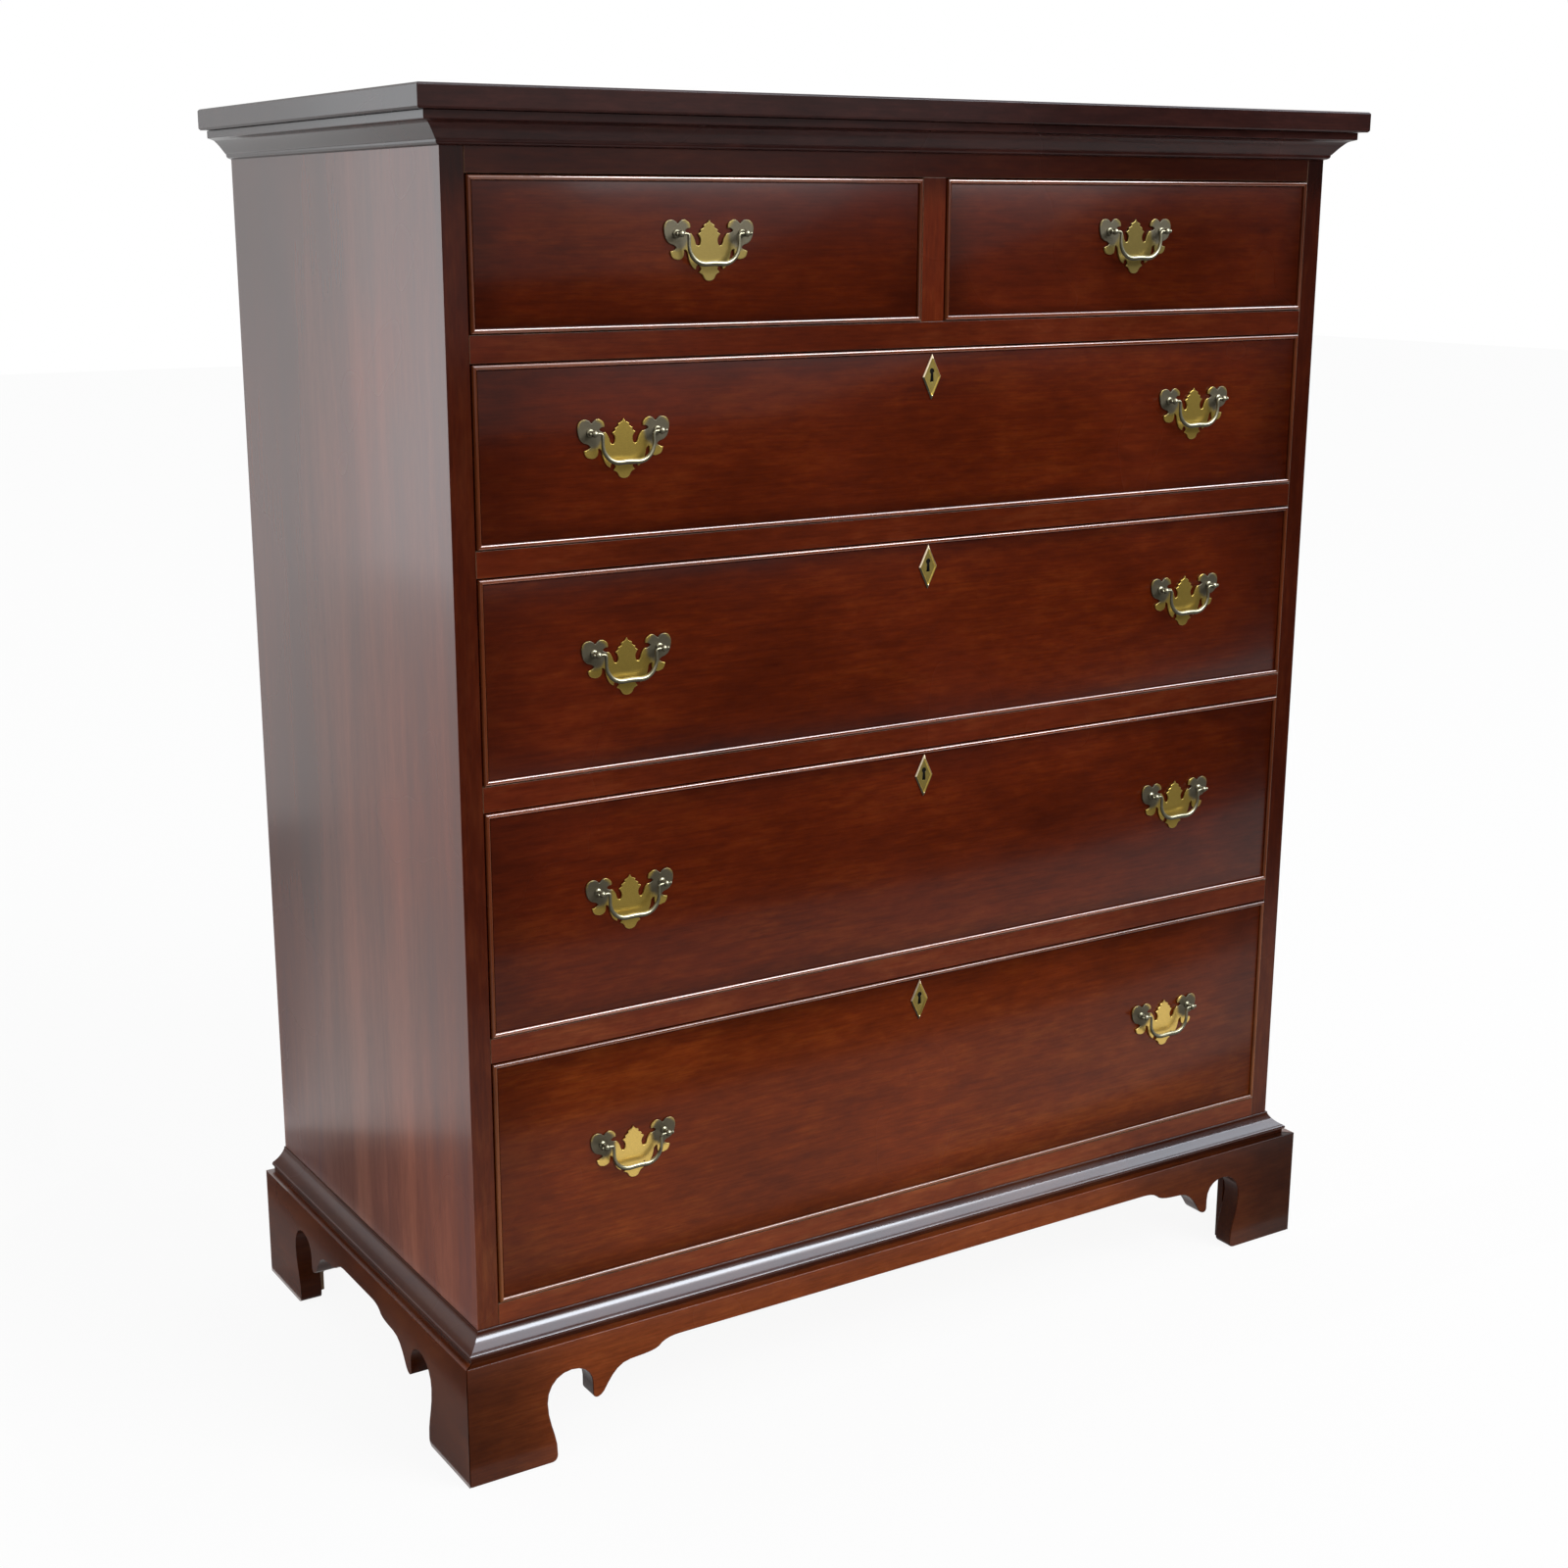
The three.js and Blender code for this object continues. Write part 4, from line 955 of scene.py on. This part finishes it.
def turned_mesh(name, turnings, finish):
    """Round pieces in one mesh, each from a profile of pairs of radius and distance along the
    y axis, a centre and a number of facets"""
    points, faces = [], []
    for profile, (x, y, z), steps in turnings:
        sections = [[(x + radius * math.cos(turn), y + along, z + radius * math.sin(turn))
                     for turn in circle(steps)] for radius, along in profile]
        faces += skin(sections, len(points))
        points += all_points(sections)
    return mesh_from(name, points, faces, (finish,))


def plate_mesh(pulls, finish):
    across = pulls.plate_width / 2
    foot = pulls.plate_top - pulls.plate_height
    right = [(x * across, foot + z * pulls.plate_height)
             for x, z in curve_points(PLATE_TOP, PLATE_STEPS, pulls.outline_steps)]
    outline = right + [(-x, z) for x, z in reversed(right[1:-1])]
    faces_at = (pulls.post_reach, pulls.post_reach + pulls.plate_thickness)
    rings = [[(x, y, z) for x, z in outline] for y in faces_at]
    return mesh_from("pull_plate_shape", all_points(rings), skin(rings), (finish,))


def post_mesh(pulls):
    ball = pulls.ball_radius
    profile = [(radius, pulls.post_reach + on) for radius, on in POST_COLLAR]
    profile += [(radius, ball + on) for radius, on in POST_NECK]
    start = math.acos(POST_THROAT / ball)
    steps = 13
    for step in range(steps):
        turn = start - (start + math.pi / 2) * step / steps
        profile.append((ball * math.cos(turn), ball * math.sin(turn)))
    profile.append((0.0002, -ball))
    pair = [(profile, (side * pulls.post_spacing / 2, 0.0, 0.0), pulls.round_steps)
            for side in (-1, 1)]
    return turned_mesh("pull_posts_shape", pair, "post_brass")


def quarter(steps):
    """Shares and turns of a quarter circle"""
    return [(step / steps, math.pi / 2 * step / steps) for step in range(steps + 1)]


def bail_mesh(pulls):
    """A bar swept along the bail, thickest at the grip, with a knob on each pin"""
    stations = [(0.0, 0.0004 - BAIL_DROP, BAIL_GRIP), (0.0035, 0.0003 - BAIL_DROP, BAIL_GRIP),
                (0.0065, 0.0001 - BAIL_DROP, BAIL_SHOULDER)]
    for part, turn in quarter(12):
        stations.append((BAIL_FLAT + (BAIL_ARM - BAIL_FLAT) * math.sin(turn),
                         -BAIL_STRAIGHT - (BAIL_DROP - BAIL_STRAIGHT) * math.cos(turn),
                         BAIL_SHOULDER - 0.0008 * part))
    stations.append((BAIL_ARM, -0.0055, BAIL_THIN))
    for part, turn in quarter(5):
        stations.append((BAIL_ARM + BAIL_BEND * (1 - math.cos(turn)),
                         BAIL_BEND * (math.sin(turn) - 1), BAIL_THIN - 0.0003 * part))
    end = pulls.post_spacing / 2 + pulls.ball_radius + 0.0003
    pin, knob = pulls.pin_radius, BAIL_KNOB
    stations += [(end + on, 0.0, radius) for on, radius in (
        (-0.0003, pin), (0.0, pin + 0.0002), (0.0003, knob - 0.0002), (0.0007, knob),
        (0.0011, knob), (0.0016, knob * 0.8), (0.0019, knob * 0.45), (0.002, knob * 0.1))]
    whole = [(-x, z, r) for x, z, r in reversed(stations[1:])] + stations
    across = Vector((0.0, 1.0, 0.0))
    sections = []
    for i, (x, z, radius) in enumerate(whole):
        before, after = whole[max(i - 1, 0)], whole[min(i + 1, len(whole) - 1)]
        run = Vector((after[0] - before[0], 0.0, after[1] - before[1])).normalized()
        side = across.cross(run)
        sections.append([Vector((x, 0.0, z)) + side * radius * math.cos(turn)
                         + across * radius * math.sin(turn) for turn in circle(20)])
    return mesh_from("bail_shape", all_points(sections), skin(sections), ("post_brass",))


class CHEST_OT_pull_plates(Operator):
    """Scrolled back plates and turned posts of the pulls"""

    bl_idname = "chest.pull_plates"
    bl_label = "Pull plates and posts"

    def execute(self, context):
        pulls = context.scene.chest_pulls
        # The small drawers' plates get a shaded copy and the last drawer's a lit copy of the brass:
        # painted shade and painted light
        middle = plate_mesh(pulls, "plate_brass")
        high = plate_mesh(pulls, "plate_brass_high")
        plates = {"1": high, "2": high, "6": plate_mesh(pulls, "plate_brass_low")}
        posts = post_mesh(pulls)
        for bail in pull_names():
            node = bail.replace("bail", "pull_plate")
            back = finished(node, plates.get(bail.split("_")[1], middle))
            pair = put_in(node, "_posts", posts)
            back.location = pair.location = hinge_of(bail)
            rounded(back, pulls.plate_ease, PLATE_CORNER)
        return {"FINISHED"}


class CHEST_OT_bails(Operator):
    """Swinging bails of the pulls"""

    bl_idname = "chest.bails"
    bl_label = "Bails"

    def execute(self, context):
        mesh = bail_mesh(context.scene.chest_pulls)
        for node in pull_names():
            finished(node, mesh).location = hinge_of(node)
        return {"FINISHED"}


class CHEST_OT_escutcheons(Operator):
    """Lozenge escutcheons with their keyholes and pins"""

    bl_idname = "chest.escutcheons"
    bl_label = "Escutcheons"

    def execute(self, context):
        pulls = context.scene.chest_pulls
        for number in LOCKED_DRAWERS:
            node = f"escutcheon_{number}"
            low, high = box_of(node)
            middle = (low + high) / 2

            def part_of(centre, normal, field=low.y + pulls.field_depth, middle=middle):
                if normal.y < -ALONG:
                    return 1 if centre.y > field else 0
                outwards = (centre.x - middle.x) * normal.x + (centre.z - middle.z) * normal.z > 0
                return 2 if outwards else 0

            eased_copy(node, pulls.lozenge_ease,
                       ("escutcheon_brass", "escutcheon_field", "rim_brass"), part_of,
                       LOZENGE_CORNER, joined=False)
            radius = pulls.pin_head
            head = ((0.0004, 0.0), (radius, -0.00005), (radius * 0.9, -0.00035),
                    (radius * 0.5, -0.00055), (0.00005, -0.0006))
            heads = [(head, (middle.x, low.y + 0.00003, z), 12)
                     for z in (high.z - pulls.pin_inset, low.z + pulls.pin_inset)]
            pins = turned_mesh(node + "_pins_shape", heads, "rim_brass")
            put_in(node, "_pins", pins, False)
            # A dark card behind the keyhole stands in for the shade inside it: painted shade
            corners = ((-KEYHOLE_ACROSS, -KEYHOLE_BELOW), (KEYHOLE_ACROSS, -KEYHOLE_BELOW),
                       (KEYHOLE_ACROSS, KEYHOLE_ABOVE), (-KEYHOLE_ACROSS, KEYHOLE_ABOVE))
            rings = [[(middle.x + x, y, middle.z + z) for x, z in corners]
                     for y in (high.y - 0.0004, high.y - 0.0002)]
            dark = mesh_from(node + "_keyhole_shape", all_points(rings), skin(rings),
                             ("keyhole_dark",))
            put_in(node, "_keyhole", dark, False)
        return {"FINISHED"}


class CHEST_OT_nuts(Operator):
    """Nuts on the posts' shanks, inside the drawer fronts"""

    bl_idname = "chest.nuts"
    bl_label = "Nuts"

    def execute(self, context):
        pulls = context.scene.chest_pulls
        inside = pulls.post_reach + pulls.plate_thickness + GLUE_LINE
        inside += context.scene.chest_edges.front_thickness
        nut_radius = pulls.nut_width / math.sqrt(3)
        nut = [(nut_radius * part, along) for part, along in NUT]
        mesh = turned_mesh("nuts_shape", [
            (profile, (side * pulls.post_spacing / 2, inside, 0.0), steps)
            for side in (-1, 1)
            for profile, steps in ((WASHER, 24), (nut, 6), (SHANK, 16))], "post_brass")
        mesh.set_sharp_from_angle(angle=math.radians(NUT_CORNER))
        for bail in pull_names():
            plate = bail.replace("bail", "pull_plate")
            put_in(plate, "_nuts", mesh, False).location = hinge_of(bail)
        return {"FINISHED"}


# Stage


# Cards that only mirrored rays see: how bright they are, and their corners. Corners without a
# height are as high as OVER_FLOOR.
OVER_FLOOR, BLACK, GREY = 0.002, 0.004, 0.3
FLAGS = {
    "front_flag": (BLACK, (
        (-1.75, -1.36), (0.35, -1.3), (1.2, -1.1), (4.5, -1.0), (4.5, -1.45, 2.0),
        (1.4, -1.4, 1.65), (0.9, -1.35, 1.25), (0.35, -1.29, 0.93), (-1.75, -1.28, 0.85))),
    "side_flag": (BLACK, ((-0.56, -0.4), (-0.56, 0.64), (-0.61, 0.6), (-0.81, 0.45),
                          (-0.82, -0.4))),
    "left_flag": (BLACK, ((-1.7, -1.6), (-1.7, 0.6), (-1.7, 0.6, 1.4), (-1.7, -1.6, 1.4))),
    "foot_flag": (GREY, ((-0.56, -0.4), (-0.4985, -0.4), (-0.4985, 0.5), (-0.56, 0.5))),
    # The near flag stands, in reflections, for the floor in front of the chest lying in its shade:
    # painted shade
    "near_flag": (GREY, ((-1.3, -0.42), (4.5, -0.42), (4.5, -0.27), (-1.3, -0.27))),
    "rear_flag": (GREY, ((-0.62, 0.62), (-0.9, 1.3), (-1.15, 1.95), (-0.8, 2.2), (-0.56, 0.9))),
}


class CHEST_OT_stage(Operator):
    """Floor, backdrop, lamps and camera"""

    bl_idname = "chest.stage"
    bl_label = "Stage"

    def execute(self, context):
        scene = context.scene
        stage = scene.chest_stage
        scene.view_settings.view_transform = "Standard"

        reach, below = 15, 0.0005
        floor = self.card("floor", ((-reach, -reach, 0), (reach, -reach, 0), (reach, reach, 0),
                                    (-reach, reach, 0)))
        floor.location.z = -below
        recipe = Recipe("floor_paint")
        mottle = recipe.clouded(2.0)
        paint = tuple(stage.floor_tone)
        mottled = recipe.blend("MIX", mottle, paint, tuple(c * 0.985 for c in paint))
        floor.data.materials.append(recipe.finish(Base_Color=mottled, Roughness=0.7))
        white = recipe.add("ShaderNodeEmission", {0: tuple(stage.backdrop_tone)})
        shown = recipe.number("MULTIPLY", recipe.seen_ray(), stage.floor_white)
        recipe.show("Material Output", shown, recipe.surface, white)

        world = bpy.data.worlds.new("studio")
        scene.world = world
        world.use_nodes = True
        nodes = Nodes(world.node_tree)
        seen = nodes.tree.nodes["Background"]
        nodes.put(seen.inputs["Color"], tuple(stage.backdrop_tone))
        nodes.put(seen.inputs["Strength"], 1.0)
        fill = nodes.add("ShaderNodeBackground", {"Color": (0.97, 0.985, 1.0),
                                                  "Strength": stage.fill})
        nodes.show("World Output", nodes.seen_ray(), fill, seen)

        self.panel_light("key", (3.6, -6.0, 5.2), (0.0, 0.0, 0.55), (4.5, 4.5), stage.key)
        pale, blue = (0.88, 0.95, 1.0), (0.76, 0.87, 1.0)
        for colour, *panel in (
                (pale, "side_panel", (-1.75, 1.35, 1.35), (1.0, 1.35, 1.35), (3.4, 2.1),
                 stage.side),
                (blue, "overhead_panel", (2.2, -1.2, 3.0), (2.2, -1.2, 0.0), (4.4, 2.1),
                 stage.overhead),
                (blue, "window_panel", (2.2, -2.9, 3.0), (2.2, -2.9, 0.0), (4.4, 1.3),
                 stage.window)):
            lamp = self.panel_light(*panel)
            lamp.data.color = colour
            lamp.visible_diffuse = False

        cloths = {BLACK: self.flag_cloth("black_flag_cloth", BLACK),
                  GREY: self.flag_cloth("grey_flag_cloth", GREY)}
        for name, (shade, corners) in FLAGS.items():
            flag = self.card(name, [(*corner, OVER_FLOOR)[:3] for corner in corners])
            flag.data.materials.append(cloths[shade])
            flag.visible_camera = False
            flag.visible_diffuse = False
            flag.visible_shadow = False

        lens = bpy.data.cameras.new("camera")
        lens.lens = stage.lens
        lens.sensor_width = 36.0
        lens.shift_x, lens.shift_y = stage.camera_shift
        camera = bpy.data.objects.new("camera", lens)
        camera.location = stage.camera_place
        camera.rotation_euler = stage.camera_turn
        scene.collection.objects.link(camera)
        scene.camera = camera
        return {"FINISHED"}

    @staticmethod
    def flag_cloth(name, shade):
        return Recipe(name).finish(Base_Color=(shade, shade, shade), Roughness=0.9,
                                   Specular_IOR_Level=0.0)

    @staticmethod
    def card(name, corners):
        mesh = bpy.data.meshes.new(name)
        mesh.from_pydata(corners, [], [tuple(range(len(corners)))])
        made = bpy.data.objects.new(name, mesh)
        bpy.context.scene.collection.objects.link(made)
        return made

    @staticmethod
    def panel_light(name, place, aim, spread, watts):
        lamp = bpy.data.lights.new(name, "AREA")
        lamp.shape = "RECTANGLE"
        lamp.size, lamp.size_y = spread
        lamp.energy = watts
        made = bpy.data.objects.new(name, lamp)
        made.location = place
        made.rotation_mode = "QUATERNION"
        made.rotation_quaternion = (Vector(aim) - Vector(place)).to_track_quat("-Z", "Y")
        made.visible_camera = False
        bpy.context.scene.collection.objects.link(made)
        return made


OPERATORS = (
    CHEST_OT_case_boards, CHEST_OT_mouldings, CHEST_OT_bracket_base, CHEST_OT_drawer_fronts,
    CHEST_OT_drawer_linings, CHEST_OT_pull_plates, CHEST_OT_bails, CHEST_OT_escutcheons,
    CHEST_OT_nuts, CHEST_OT_stage,
)
SETTINGS = {"chest_wood": ChestWood, "chest_brass": ChestBrass, "chest_edges": ChestEdges,
            "chest_pulls": ChestPulls, "chest_stage": ChestStage}


class CHEST_PT_finish(Panel):
    """Lists the steps of the finish"""

    bl_idname = "CHEST_PT_finish"
    bl_label = "Chest of Drawers"
    bl_space_type = "VIEW_3D"
    bl_region_type = "UI"
    bl_category = "Chest"

    def draw(self, context):
        for step in OPERATORS:
            self.layout.operator(step.bl_idname)


CLASSES = (*SETTINGS.values(), *OPERATORS, CHEST_PT_finish)


def register():
    for made in CLASSES:
        bpy.utils.register_class(made)
    for name, setting in SETTINGS.items():
        setattr(bpy.types.Scene, name, PointerProperty(type=setting))


def unregister():
    for name in SETTINGS:
        delattr(bpy.types.Scene, name)
    for made in reversed(CLASSES):
        bpy.utils.unregister_class(made)


def main():
    register()
    bpy.ops.chest.case_boards()
    bpy.ops.chest.mouldings()
    bpy.ops.chest.bracket_base()
    bpy.ops.chest.drawer_fronts()
    bpy.ops.chest.drawer_linings()
    bpy.ops.chest.pull_plates()
    bpy.ops.chest.bails()
    bpy.ops.chest.escutcheons()
    bpy.ops.chest.nuts()
    bpy.ops.chest.stage()
    bpy.context.view_layer.update()


if __name__ == "__main__":
    main()
